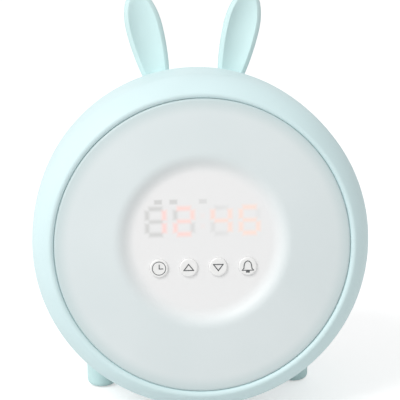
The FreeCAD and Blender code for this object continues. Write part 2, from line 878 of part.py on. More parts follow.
# Posts behind the recess carry the face board
face_post_places = []
for degrees in (60, 120, 240, 300):
    angle = math.radians(degrees)
    face_post_places.append((size.face_post_circle * math.cos(angle),
                             size.face_post_circle * math.sin(angle) + size.recess_rise))
post_start = floor_depth + size.panel_wall / 2
face_posts = []
face_pilots = []
for index, (x, z) in enumerate(face_post_places):
    face_posts.append(rod(f"face_post_{index}", size.face_post_radius, post_start,
                          size.face_board_depth - post_start, x, z))
    face_pilots.append(rod(f"face_pilot_{index}", size.screw_radius + size.pilot_gap,
                           floor_inside + size.cut_over, size.face_board_depth - floor_inside, x, z))
flange_holes = []
for index, (x, z) in enumerate(panel_screw_places):
    flange_holes.append(rod(f"flange_hole_{index}", size.screw_radius + size.fit_gap,
                            size.lip_depth - size.cut_over, size.flange_height + size.cut_over * 2, x, z))
keep("diffuser_panel", cut("diffuser_panel_body", fuse("panel_joined", [panel_skin] + face_posts),
                           key_holes + face_pilots + flange_holes))


# Keys: a cap in the panel's hole, a flange behind the panel and a stem over its switch

def key(name, front, wall_inside, stem_end, x, z, outward=False):
    # The outline runs from the key's face inwards; a rear key is turned round to face backwards
    turn = -1 if outward else 1
    flange_front = wall_inside + size.run_gap
    flange_back_face = flange_front + size.key_flange_height
    flange_reach = size.key_radius + size.key_flange
    body = turned(name + "_turned", [
        (0, front),
        (size.key_radius - size.key_edge, front),
        Centre(size.key_radius - size.key_edge, front + size.key_edge),
        (size.key_radius, front + size.key_edge),
        (size.key_radius, flange_front),
        (flange_reach, flange_front),
        (flange_reach, flange_back_face),
        (size.stem_radius, flange_back_face),
        (size.stem_radius, stem_end),
        (0, stem_end),
    ])
    if outward:
        inFace(body, x, size.body_depth, z, alongX, 180)
    else:
        inFace(body, x, 0, z)
    return keep(name, body)


switch_stack = size.switch_height + size.plunger_height + size.key_travel + size.run_gap
for name, x in key_places.items():
    key(name, floor_depth - size.key_proud, floor_inside, size.face_board_depth - switch_stack, x,
        -size.key_drop)
for name, x in rear_key_places.items():
    key(name, -size.key_proud, size.wall, size.body_depth - main_board_rear - switch_stack, x,
        -size.rear_key_drop, outward=True)


def switch(name, board, x, z, toward=-1):
    # A push switch on a board, with its plunger towards the key
    body_start = board - size.switch_height if toward < 0 else value(board)
    plunger_start = body_start - size.plunger_height if toward < 0 else board + size.switch_height
    box = block(f"{name}_box", size.switch_side, size.switch_height, size.switch_side, x, body_start, z)
    plunger = rod(f"{name}_plunger", size.plunger_radius, plunger_start, size.plunger_height, x, z)
    return fuse(name, [box, plunger])


keep("key_switches", gather("key_switch_set", [
    switch(f"{name}_switch", size.face_board_depth, x, -size.key_drop) for name, x in key_places.items()]))
keep("rear_switches", gather("rear_switch_set", [
    switch(f"{name}_switch", main_board_rear, x, -size.rear_key_drop, toward=1)
    for name, x in rear_key_places.items()]))

# Display: a block of lamp segments in an opaque frame, on the round face board

display_start = floor_inside + size.display_gap
keep("display_module", block("display_block", size.display_width, size.face_board_depth - display_start,
                             size.display_height, 0, display_start, size.display_rise))
frame_start = floor_inside + size.run_gap
frame_depth = size.face_board_depth - frame_start
frame_out = block("display_frame_outside", size.display_width + (size.fit_gap + size.frame_wall) * 2,
                  frame_depth, size.display_height + (size.fit_gap + size.frame_wall) * 2, 0, frame_start,
                  size.display_rise)
frame_in = block("display_frame_inside", size.display_width + size.fit_gap * 2,
                 frame_depth + size.cut_over * 2, size.display_height + size.fit_gap * 2, 0,
                 frame_start - size.cut_over, size.display_rise)
keep("display_frame", cut("display_frame_body", frame_out, [frame_in]))

face_board_back = size.face_board_depth + size.board_thickness
face_board = rod("face_board_disc", size.face_board_radius, size.face_board_depth, size.board_thickness, 0,
                 size.recess_rise)
keep("face_board", cut("face_board_body", face_board, [
    rod(f"face_board_hole_{index}", size.screw_radius + size.fit_gap, size.face_board_depth - size.cut_over,
        size.board_thickness + size.cut_over * 2, x, z) for index, (x, z) in enumerate(face_post_places)]))
face_screw_length = size.face_board_depth - floor_inside - size.cut_over * 2 + size.board_thickness
face_screws = [screw(f"face_screw_{index}", face_board_back, face_screw_length, x, z, head_first=False)
               for index, (x, z) in enumerate(face_post_places)]
keep("face_board_screws", gather("face_screw_set", face_screws))

# Lamp: a ring board of lamps on a white tray behind the panel

tray_radius = rim_radius - size.tray_inset
lamp_outer_radius = tray_radius - size.tray_wall - size.lamp_gap
lamp_inner_radius = lamp_outer_radius - size.lamp_width
led_circle = lamp_inner_radius + size.lamp_width / 2
lamp_screw_circle = lamp_inner_radius + size.lamp_screw_inset
lamp_back = size.lamp_depth + size.board_thickness
tray_back = lamp_back + size.tray_wall
tray_flange_back = flange_back + size.tray_wall
tray_profile = turned("tray_profile", [
    (0, lamp_back),
    (tray_radius - size.tray_wall, lamp_back),
    (tray_radius - size.tray_wall, flange_back),
    (flange_radius, flange_back),
    (flange_radius, tray_flange_back),
    (tray_radius, tray_flange_back),
    (tray_radius, tray_back),
    (0, tray_back),
])
inFace(tray_profile)
lamp_screw_places = []
for index in range(lamp_screw_count):
    angle = math.radians(360 / lamp_screw_count * (index + 0.5))
    lamp_screw_places.append((lamp_screw_circle * math.cos(angle),
                              lamp_screw_circle * math.sin(angle)))
cell_depth = tray_back + size.cradle_wall + size.cell_radius
cradle_screw_spread = size.cell_length / 2 - size.cradle_screw_inset
cradle_screw_places = [(-cradle_screw_spread, -size.cell_drop), (cradle_screw_spread, -size.cell_drop)]
tray_cut = size.tray_wall + size.cut_over * 2
tray_holes = [rod("tray_hole", size.tray_hole_radius, lamp_back - size.cut_over, tray_cut)]
for index, (x, z) in enumerate(lamp_screw_places):
    tray_holes.append(rod(f"tray_lamp_hole_{index}", size.screw_radius + size.pilot_gap,
                          lamp_back - size.cut_over, tray_cut, x, z))
for index, (x, z) in enumerate(panel_screw_places):
    tray_holes.append(rod(f"tray_panel_hole_{index}", size.screw_radius + size.fit_gap,
                          flange_back - size.cut_over, tray_cut, x, z))
for index, (x, z) in enumerate(cradle_screw_places):
    tray_holes.append(rod(f"tray_cradle_hole_{index}", size.screw_radius + size.fit_gap,
                          lamp_back - size.cut_over, tray_cut, x, z))
keep("reflector_tray", cut("reflector_tray_body", tray_profile, tray_holes))

lamp_ring = inFace(turned("lamp_ring", [
    (lamp_inner_radius, size.lamp_depth),
    (lamp_outer_radius, size.lamp_depth),
    (lamp_outer_radius, lamp_back),
    (lamp_inner_radius, lamp_back),
]))
keep("lamp_board", cut("lamp_board_body", lamp_ring, [
    rod(f"lamp_board_hole_{index}", size.screw_radius + size.fit_gap, size.lamp_depth - size.cut_over,
        size.board_thickness + size.cut_over * 2, x, z) for index, (x, z) in enumerate(lamp_screw_places)]))
leds = []
for index in range(led_count):
    angle = math.radians(360 / led_count * index)
    leds.append(block(f"led_{index}", size.led_side, size.led_height, size.led_side,
                      led_circle * math.cos(angle), size.lamp_depth - size.led_height,
                      led_circle * math.sin(angle)))
keep("lamp_leds", gather("led_set", leds))
keep("lamp_board_screws", gather("lamp_screw_set", [
    screw(f"lamp_screw_{index}", size.lamp_depth, size.board_thickness + size.tray_wall, x, z)
    for index, (x, z) in enumerate(lamp_screw_places)]))
keep("panel_screws", gather("panel_screw_set", [
    screw(f"panel_screw_{index}", tray_flange_back, tray_flange_back - screw_tip - size.tip_gap, x, z,
          head_first=False)
    for index, (x, z) in enumerate(panel_screw_places)]))

# Battery: one rechargeable cell in a cradle on the back of the tray


def lyingCell(name, radius, length):
    # A cylinder that lies across the clock, centred on the battery's place
    item = doc.addObject("Part::Cylinder", name)
    item.setExpression("Radius", value(radius).formula)
    item.setExpression("Height", value(length).formula)
    return inFace(item, -value(length) / 2, cell_depth, -size.cell_drop, alongY, 90)


cradle_width = size.cell_length + (size.cradle_wall + size.fit_gap) * 2
cradle_side = (size.cell_radius + size.fit_gap + size.cradle_wall) * 2
cradle_block = block("cradle_block", cradle_width, cell_depth - tray_back, cradle_side, 0, tray_back,
                     -size.cell_drop)
cradle_pilots = []
for index, (x, z) in enumerate(cradle_screw_places):
    cradle_pilots.append(rod(f"cradle_pilot_{index}", size.screw_radius + size.pilot_gap,
                             tray_back - size.cut_over, size.cradle_wall + size.cut_over * 2, x, z))
keep("battery_cradle", cut("battery_cradle_body", cradle_block, [
    lyingCell("cradle_trough", size.cell_radius + size.fit_gap, size.cell_length + size.fit_gap * 2)]
    + cradle_pilots))
keep("battery_cell", lyingCell("cell", size.cell_radius, size.cell_length))
keep("cradle_screws", gather("cradle_screw_set", [
    screw(f"cradle_screw_{index}", lamp_back, size.tray_wall + size.cradle_wall - size.run_gap, x, z)
    for index, (x, z) in enumerate(cradle_screw_places)]))
strap_round = lyingCell("strap_round", size.cell_radius + size.fit_gap + size.strap_wall, size.strap_width)
strap_bore = lyingCell("strap_bore", size.cell_radius + size.fit_gap, size.strap_width + size.cut_over * 2)
strap_half = block("strap_half", size.strap_width + size.cut_over * 2, cradle_side, cradle_side * 2, 0,
                   cell_depth - cradle_side, -size.cell_drop)
keep("battery_strap", cut("battery_strap_body", strap_round, [strap_bore, strap_half]))

# Speaker: a flanged basket against the grille, with a paper cone and a magnet

basket_front = back_inside
magnet_front = back_inside - size.speaker_height + size.magnet_height
throat = size.magnet_radius - size.basket_wall
basket = turned("basket_profile", [
    (size.speaker_radius, basket_front),
    (size.speaker_radius, speaker_flange_front),
    (size.speaker_radius - size.speaker_rim, speaker_flange_front),
    (size.magnet_radius, magnet_front),
    (0, magnet_front),
    (0, magnet_front + size.basket_wall),
    (throat, magnet_front + size.basket_wall),
    (size.speaker_radius - size.speaker_rim - size.basket_wall, speaker_flange_front + size.basket_wall),
    (size.speaker_radius - size.speaker_rim, basket_front),
])
keep("speaker_basket", inFace(basket, 0, 0, size.speaker_rise))
keep("speaker_magnet", rod("magnet", size.magnet_radius, magnet_front - size.magnet_height,
                           size.magnet_height, 0, size.speaker_rise))
cone_edge = size.speaker_radius - size.speaker_rim - size.basket_wall - size.run_gap
cone_throat = size.magnet_radius / 3
cone = turned("cone_profile", [
    (cone_edge, speaker_flange_front + size.basket_wall),
    (cone_throat, magnet_front + size.basket_wall * 3),
    (0, magnet_front + size.basket_wall * 2),
    (0, magnet_front + size.basket_wall),
    (cone_throat, magnet_front + size.basket_wall),
    (cone_throat + size.basket_wall, magnet_front + size.basket_wall * 2),
    (cone_edge, speaker_flange_front + size.basket_wall / 2),
])
keep("speaker_cone", inFace(cone, 0, 0, size.speaker_rise))
keep("speaker_screws", gather("speaker_screw_set", [
    screw(f"speaker_screw_{index}", speaker_flange_front, size.wall, x, z)
    for index, (x, z) in enumerate(speaker_post_places)]))

# Main board with its chip, charging socket and screws

main_board = block("main_board_plate", size.main_board_width, size.board_thickness,
                   size.main_board_height, 0, main_board_depth, -size.main_board_drop)
keep("main_board", cut("main_board_body", main_board, [
    rod(f"main_board_hole_{index}", size.screw_radius + size.fit_gap, main_board_depth - size.cut_over,
        size.board_thickness + size.cut_over * 2, x, z) for index, (x, z) in enumerate(main_post_places)]))
keep("main_board_screws", gather("main_screw_set", [
    screw(f"main_screw_{index}", main_board_depth, main_post_length - size.wall * 2, x, z)
    for index, (x, z) in enumerate(main_post_places)]))
keep("main_chips", gather("chip_set", [
    block("chip_wide", size.wide_chip_side, size.chip_thickness, size.wide_chip_side, -size.chip_spread,
          main_board_depth - size.chip_thickness, -size.main_board_drop),
    block("chip_narrow", size.narrow_chip_width, size.chip_thickness, size.narrow_chip_height,
          size.chip_spread, main_board_depth - size.chip_thickness, -size.main_board_drop),
]))
usb_end = size.body_depth - size.usb_inset
usb_body = block("usb_body", size.usb_width, usb_end - main_board_rear, size.usb_height, 0, main_board_rear,
                 -size.usb_drop)
usb_mouth = block("usb_mouth", size.usb_width - size.usb_wall * 2, size.usb_mouth_depth + size.cut_over,
                  size.usb_height - size.usb_wall * 2, 0, usb_end - size.usb_mouth_depth, -size.usb_drop)
usb_tongue = block("usb_tongue", size.usb_width - (size.usb_wall + size.usb_tongue_inset) * 2,
                   size.usb_mouth_depth - size.usb_wall, size.usb_tongue_height, 0,
                   usb_end - size.usb_mouth_depth - size.usb_wall, -size.usb_drop)
keep("usb_socket", fuse("usb_socket_body", [cut("usb_shell", usb_body, [usb_mouth]), usb_tongue]))


# Leads: straight runs joined by tangent arcs

def lead(name, points, radius):
    points = [Vector(*point) for point in points]
    edges = []
    here = points[0]
    for before, corner, after in zip(points, points[1:], points[2:]):
        come = (corner - before)
        go = (after - corner)
        turn = come.getAngle(go)
        shorter = min(come.Length, go.Length)
        bend = 0.45 * shorter / math.tan(turn / 2)
        print(f"{name}: arc radius {bend:.1f}")
        come_unit = come.normalize()
        go_unit = go.normalize()
        reach = bend * math.tan(turn / 2)
        start = corner - come_unit * reach
        end = corner + go_unit * reach
        bisector = (go_unit - come_unit).normalize()
        centre = corner + bisector * (bend / math.cos(turn / 2))
        top = centre - bisector * bend
        edges.append(Part.LineSegment(here, start).toShape())
        edges.append(Part.Arc(start, top, end).toShape())
        here = end
    edges.append(Part.LineSegment(here, points[-1]).toShape())
    path = Part.Wire(edges)
    section = Part.Wire(Part.Circle(points[0], points[1] - points[0], radius).toShape())
    tube = path.makePipeShell([section], True, False)
    expected = math.pi * radius ** 2 * path.Length
    print(f"{name}: volume {tube.Volume:.1f}, section times length {expected:.1f}, length {path.Length:.0f}")
    return tube


def leadNode(name, routes, radius):
    items = []
    for index, route in enumerate(routes):
        item = doc.addObject("Part::Feature", f"{name}_{index}")
        item.Shape = lead(f"{name} {index}", route, radius)
        inFace(item)
        items.append(item)
    return keep(name, gather(name + "_set", items))


def paired(count, place):
    # Places of a row of leads, from the given place
    return [place + size.lead_pitch.number * index for index in range(count)]


board_front = main_board_depth.number
battery_start = (cell_depth + size.cell_radius).number
battery_low = -size.cell_drop.number
board_low = -size.main_board_drop.number
leadNode("battery_leads", [[
    (-x, battery_start, battery_low),
    (-x, battery_start + size.battery_lead_run.number, battery_low),
    (-x - size.battery_lead_shift.number, battery_start + size.battery_lead_end.number, board_low),
    (-x - size.battery_lead_shift.number, board_front, board_low),
] for x in paired(2, size.battery_lead_place.number)], size.battery_lead_radius.number)
magnet_back = (magnet_front - size.magnet_height).number
speaker_turn = magnet_back - size.speaker_lead_run.number
speaker_high = size.speaker_rise.number
speaker_low = -size.speaker_lead_drop.number
leadNode("speaker_leads", [[
    (x, magnet_back, speaker_high),
    (x, speaker_turn, speaker_high),
    (x + size.speaker_lead_shift.number, speaker_turn, speaker_low),
    (x + size.speaker_lead_shift.number, board_front, speaker_low),
] for x in paired(2, size.speaker_lead_place.number)], size.fine_lead_radius.number)
face_lead_start = face_board_back.number
face_lead_high = (size.recess_rise - size.face_lead_drop).number
face_lead_low = -size.face_lead_end.number
leadNode("face_leads", [[
    (x, face_lead_start, face_lead_high),
    (x, face_lead_start + size.face_lead_run.number, face_lead_high),
    (x + size.face_lead_shift.number, face_lead_start + size.face_lead_bend.number, face_lead_low),
    (x + size.face_lead_shift.number, board_front, face_lead_low),
] for x in paired(4, -size.lead_pitch.number * 2)], size.fine_lead_radius.number)

doc.recompute()

# Nothing is written unless every object is sound
faults = []
for item in doc.Objects:
    if "Invalid" in item.State or "Error" in item.State:
        faults.append(f"{item.Name}: {item.State}")
for name, item in parts.items():
    shape = item.Shape
    if shape.isNull() or not shape.isValid() or not shape.Solids:
        faults.append(f"{name}: no sound solid")
if faults:
    raise SystemExit("\n".join(faults))

os.makedirs("parts", exist_ok=True)
for name, item in parts.items():
    item.Shape.exportStep(f"parts/{name}.step")
    print(f"{name}: {len(item.Shape.Solids)} solid, {item.Shape.Volume:.0f} mm3")
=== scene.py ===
import json
import math
import bmesh
import bpy
from mathutils import Matrix, Vector


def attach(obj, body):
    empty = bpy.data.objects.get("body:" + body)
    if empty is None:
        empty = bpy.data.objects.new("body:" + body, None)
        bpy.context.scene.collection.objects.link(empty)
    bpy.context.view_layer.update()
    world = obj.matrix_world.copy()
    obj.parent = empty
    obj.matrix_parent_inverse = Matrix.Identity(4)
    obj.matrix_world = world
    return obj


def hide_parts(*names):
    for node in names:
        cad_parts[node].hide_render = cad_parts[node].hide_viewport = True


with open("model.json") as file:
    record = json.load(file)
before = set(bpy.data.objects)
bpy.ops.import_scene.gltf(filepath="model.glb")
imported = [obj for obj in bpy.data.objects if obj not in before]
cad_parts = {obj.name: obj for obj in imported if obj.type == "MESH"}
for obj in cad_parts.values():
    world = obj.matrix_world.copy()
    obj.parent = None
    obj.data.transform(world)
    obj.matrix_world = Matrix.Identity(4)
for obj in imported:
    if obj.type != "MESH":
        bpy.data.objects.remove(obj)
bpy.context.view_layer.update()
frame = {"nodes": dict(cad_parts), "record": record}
mm = 0.001

# The face frame: X right, Y into the casing from the front rim, Z up along the panel
casing = {
    "lean": 6.0,
    "floorGap": 0.9,
    "rimRadius": 74.0,
    "noseRadius": 1.8,
    "shoulderRadius": 7.5,
    "softShoulder": 20.0,
    "softTurn": 55.0,
    "bodyRadius": 86.5,
    "widestDepth": 52.0,
    "bodyDepth": 108.0,
    "backRadius": 42.0,
    "backCorner": 27.0,
    "wall": 2.4,
    "lipDepth": 4.4,
    "seamDepth": 78.0,
    "seamGap": 0.4,
    "tongueGap": 0.1,
    "tongueWall": 1.2,
    "tongueLength": 3.0,
    "seamRound": 0.5,
    "turnSteps": 288,
}


def bridgeRadius(across, along, inner):
    return (across ** 2 + along ** 2 - inner ** 2) / (2 * (across - inner))


lean = math.radians(casing["lean"])
noseCentre = casing["rimRadius"] + casing["noseRadius"]
cornerDepth = casing["bodyDepth"] - casing["backCorner"]
backArc = bridgeRadius(casing["bodyRadius"] - casing["backRadius"], cornerDepth - casing["widestDepth"],
                       casing["backCorner"])
faceHeight = (backArc + (casing["bodyRadius"] - backArc) * math.cos(lean)
              + casing["widestDepth"] * math.sin(lean) + casing["floorGap"])
frontReach = (casing["shoulderRadius"] + noseCentre * math.sin(lean)
              - casing["shoulderRadius"] * math.cos(lean))
backReach = casing["backCorner"] + cornerDepth * math.cos(lean) + casing["backRadius"] * math.sin(lean)
faceY = (frontReach - backReach) / 2
faceMatrix = Matrix.Translation((0, faceY * mm, faceHeight * mm)) @ Matrix.Rotation(-lean, 4, "X")
print("frame loaded, face at", round(faceY, 2), round(faceHeight, 2))


# Mesh helpers

def arcPoints(start, end, centre, count):
    # points from start to end about a centre, short way round, without the last one
    first = math.atan2(start[1] - centre[1], start[0] - centre[0])
    last = math.atan2(end[1] - centre[1], end[0] - centre[0])
    turn = (last - first + math.pi) % (2 * math.pi) - math.pi
    radius = math.hypot(start[0] - centre[0], start[1] - centre[1])
    return [(centre[0] + radius * math.cos(first + turn * step / count),
             centre[1] + radius * math.sin(first + turn * step / count)) for step in range(count)]


def spunMesh(outline, steps, upright=False):
    # an outline of (radius, place) in millimetres, spun about the depth axis, or about the upright
    mesh = bmesh.new()
    verts = [mesh.verts.new((radius, 0, along) if upright else (radius, along, 0))
             for radius, along in outline]
    edges = [mesh.edges.new(pair) for pair in zip(verts, verts[1:])]
    if outline[0][0] > 0 or outline[-1][0] > 0:
        edges.append(mesh.edges.new((verts[-1], verts[0])))
    bmesh.ops.spin(mesh, geom=verts + edges, cent=(0, 0, 0), axis=(0, 0, 1) if upright else (0, 1, 0),
                   angle=2 * math.pi, steps=steps, use_merge=True, use_duplicate=False)
    bmesh.ops.remove_doubles(mesh, verts=mesh.verts, dist=0.002)
    bmesh.ops.recalc_face_normals(mesh, faces=mesh.faces)
    return mesh


def finishPiece(name, mesh, matrix, material, sharp=35.0):
    # millimetres to metres, into place, smooth shaded with crisp edges kept
    bmesh.ops.transform(mesh, matrix=matrix @ Matrix.Diagonal((mm, mm, mm, 1)), verts=mesh.verts)
    data = bpy.data.meshes.new(name)
    mesh.to_mesh(data)
    mesh.free()
    data.shade_smooth()
    data.set_sharp_from_angle(angle=math.radians(sharp))
    piece = bpy.data.objects.new(name, data)
    bpy.context.scene.collection.objects.link(piece)
    if material:
        data.materials.append(material)
    return piece


def rodMesh(radius, start, end, x, height, steps=48):
    # a closed cylinder along the depth axis
    mesh = bmesh.new()
    turn = Matrix.Translation((x, (start + end) / 2, height)) @ Matrix.Rotation(math.pi / 2, 4, "X")
    bmesh.ops.create_cone(mesh, cap_ends=True, segments=steps, radius1=radius, radius2=radius,
                          depth=end - start, matrix=turn)
    return mesh


def boxMesh(size, centre, edge=0.0, segments=3, turn=0.0):
    # a box with eased edges, turned about the depth axis
    mesh = bmesh.new()
    place = Matrix.Translation(centre) @ Matrix.Rotation(turn, 4, "Y")
    bmesh.ops.create_cube(mesh, size=1.0, matrix=place @ Matrix.Diagonal((size[0], size[1], size[2], 1)))
    if edge:
        bmesh.ops.bevel(mesh, geom=list(mesh.edges), offset=edge, offset_type="OFFSET", affect="EDGES",
                        segments=segments, profile=0.5, material=-1)
    return mesh


def joined(meshes):
    # several meshes as one
    whole = bmesh.new()
    for mesh in meshes:
        data = bpy.data.meshes.new("join")
        mesh.to_mesh(data)
        mesh.free()
        whole.from_mesh(data)
        bpy.data.meshes.remove(data)
    return whole


def ringPlaces(count, radius, first=0.0):
    return [(radius * math.cos(first + 2 * math.pi * step / count),
             radius * math.sin(first + 2 * math.pi * step / count)) for step in range(count)]


def carve(piece, meshes, sharp=35.0):
    # takes cutters in the face frame out of a piece
    cutter = finishPiece("cutter", joined(meshes), faceMatrix, None)
    modifier = piece.modifiers.new("carve", "BOOLEAN")
    modifier.operation = "DIFFERENCE"
    modifier.solver = "EXACT"
    modifier.object = cutter
    depsgraph = bpy.context.evaluated_depsgraph_get()
    carved = bpy.data.meshes.new_from_object(piece.evaluated_get(depsgraph))
    piece.modifiers.clear()
    piece.data = carved
    carved.shade_smooth()
    carved.set_sharp_from_angle(angle=math.radians(sharp))
    bpy.data.objects.remove(cutter)
    return piece


def dress(piece, body, slot, *nodes):
    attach(piece, body)
    if nodes:
        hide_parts(*nodes)
    return piece


# Shader helpers

class Wire:
    # a shader socket that can be used in plain arithmetic
    def __init__(self, tree, socket):
        self.tree = tree
        self.socket = socket

    def node(self, kind, settings=None, **values):
        item = self.tree.nodes.new(kind)
        for key, value in (settings or {}).items():
            setattr(item, key, value)
        for key, value in values.items():
            plug = item.inputs[int(key[1:])] if key[0] == "i" and key[1:].isdigit() else item.inputs[key]
            if isinstance(value, Wire):
                self.tree.links.new(value.socket, plug)
            else:
                plug.default_value = value
        return item

    def maths(self, operation, *others):
        values = {f"i{index + 1}": other for index, other in enumerate(others)}
        item = self.node("ShaderNodeMath", {"operation": operation}, i0=self, **values)
        return Wire(self.tree, item.outputs[0])

    def __add__(self, other):
        return self.maths("ADD", other)

    def __radd__(self, other):
        return self.maths("ADD", other)

    def __sub__(self, other):
        return self.maths("SUBTRACT", other)

    def __rsub__(self, other):
        return (self * -1.0) + other

    def __mul__(self, other):
        return self.maths("MULTIPLY", other)

    def __rmul__(self, other):
        return self.maths("MULTIPLY", other)

    def absolute(self):
        return self.maths("ABSOLUTE")

    def largest(self, other):
        return self.maths("MAXIMUM", other)

    def fade(self, low, high):
        # 0 below low, 1 above high, eased between; low may be above high
        flip = low > high
        bottom, top = (high, low) if flip else (low, high)
        item = self.node("ShaderNodeMapRange", {"interpolation_type": "SMOOTHSTEP"},
                         i0=self, i1=bottom, i2=top, i3=1.0 if flip else 0.0, i4=0.0 if flip else 1.0)
        return Wire(self.tree, item.outputs[0])


def rgb(red, green, blue):
    # display colour, 0 to 255, to the linear values that the shader takes
    def linear(value):
        value = value / 255
        return value / 12.92 if value <= 0.04045 else ((value + 0.055) / 1.055) ** 2.4
    return (linear(red), linear(green), linear(blue), 1.0)


class Finish:
    # a material with a Principled shader, whose place is the object coordinates in millimetres
    def __init__(self, name, roughness=0.5, metallic=0.0, **settings):
        self.material = bpy.data.materials.new(name)
        self.material.use_nodes = True
        self.tree = self.material.node_tree
        self.shader = self.tree.nodes["Principled BSDF"]
        self.shader.inputs["Roughness"].default_value = roughness
        self.shader.inputs["Metallic"].default_value = metallic
        for key, value in settings.items():
            self.shader.inputs[key].default_value = value
        coordinate = Wire(self.tree, self.tree.nodes.new("ShaderNodeTexCoord").outputs["Object"])
        scaled = coordinate.node("ShaderNodeVectorMath", {"operation": "SCALE"}, i0=coordinate, Scale=1000.0)
        self.place = Wire(self.tree, scaled.outputs[0])

    def split(self, wire):
        item = wire.node("ShaderNodeSeparateXYZ", None, i0=wire)
        return [Wire(self.tree, output) for output in item.outputs]

    def noise(self, scale, detail=2.0, roughness=0.5, place=None):
        item = self.place.node("ShaderNodeTexNoise", None, Vector=place or self.place, Scale=scale,
                               Detail=detail, Roughness=roughness)
        return Wire(self.tree, item.outputs["Fac"])

    def mix(self, amount, first, second):
        item = self.place.node("ShaderNodeMix", {"data_type": "RGBA"}, i0=amount, i6=first, i7=second)
        return Wire(self.tree, item.outputs[2])

    def feed(self, name, wire):
        self.tree.links.new(wire.socket, self.shader.inputs[name])

    def bump(self, height, distance, strength=1.0):
        item = self.place.node("ShaderNodeBump", None, Height=height, Distance=distance, Strength=strength)
        self.feed("Normal", Wire(self.tree, item.outputs[0]))

    def facePlace(self):
        # x, depth and height in the face frame
        x, y, z = self.split(self.place)
        y, z = y - faceY, z - faceHeight
        return x, y * math.cos(lean) - z * math.sin(lean), y * math.sin(lean) + z * math.cos(lean)


# Finishes of the outside

def smoothPlastic(name, colour, roughness, tint=0.025):
    # soft matt moulding: faint cloudy tone and a very fine skin
    finish = Finish(name, roughness)
    cloud = finish.noise(0.02, 2.0).fade(0.3, 0.7)
    lighter = tuple(min(1.0, part * (1 + tint)) for part in colour[:3]) + (1.0,)
    darker = tuple(part * (1 - tint) for part in colour[:3]) + (1.0,)
    finish.feed("Base Color", finish.mix(cloud, darker, lighter))
    grain = finish.noise(3.2, 2.0)
    finish.feed("Roughness", grain * 0.08 + (roughness - 0.04))
    finish.bump(grain, 0.00002, 0.5)
    return finish.material


colours = {
    "mint": rgb(215, 237, 239),
    "ear": rgb(211, 236, 236),
    "foot": rgb(204, 233, 233),
    "key": rgb(243, 243, 242),
    "rearKey": rgb(228, 240, 240),
    "mark": rgb(92, 94, 96),
}
casingFinish = smoothPlastic("mint_moulding", colours["mint"], 0.55)
earFinish = smoothPlastic("ear_moulding", colours["ear"], 0.58)
footFinish = smoothPlastic("foot_moulding", colours["foot"], 0.58)
keyFinish = smoothPlastic("key_moulding", colours["key"], 0.42, 0.01)
rearKeyFinish = smoothPlastic("rear_key_moulding", colours["rearKey"], 0.45, 0.015)


def markPrint():
    finish = Finish("mark_print", 0.6)
    wear = finish.noise(2.5, 3.0).fade(0.25, 0.75)
    finish.feed("Base Color", finish.mix(wear, rgb(84, 86, 88), rgb(104, 106, 108)))
    finish.feed("Roughness", wear * 0.15 + 0.5)
    return finish.material


markFinish = markPrint()

display = {
    "rise": 13.1,
    "cellMiddles": (-23.3, -9.3, 9.3, 23.3),
    "cellWidth": 10.6,
    "cellHeight": 15.0,
    "stroke": 2.1,
    "soft": 1.25,
    "shown": "1246",
    "colonRise": 2.6,
    "colonSize": 1.8,
    "dotPlaces": (-22.0, -14.4, 0.2),
    "dotHeight": 22.9,
    "dotSize": (3.8, 2.2),
    "dotSoft": 0.6,
    # radii of the painted shade band at the panel's rolled edge
    "edgeShadeBand": (66.0, 74.0),
    "recessRise": 3.0,
    "floorRadius": 34.5,
    "edgeRadius": 44.5,
}


def barMask(x, z, middleX, middleZ, width, height, soft):
    # 1 inside a soft bar
    reach = ((x - middleX).absolute() - width / 2).largest((z - middleZ).absolute() - height / 2)
    return reach.fade(soft, -soft)


def litSegments(shown):
    # which of the seven bars of each digit are lit: top, upper left and right, lower left and
    # right, middle, bottom
    bars = {"1": "0010100", "2": "1011011", "4": "0110110", "6": "1101111"}
    return [bars[digit] for digit in shown]


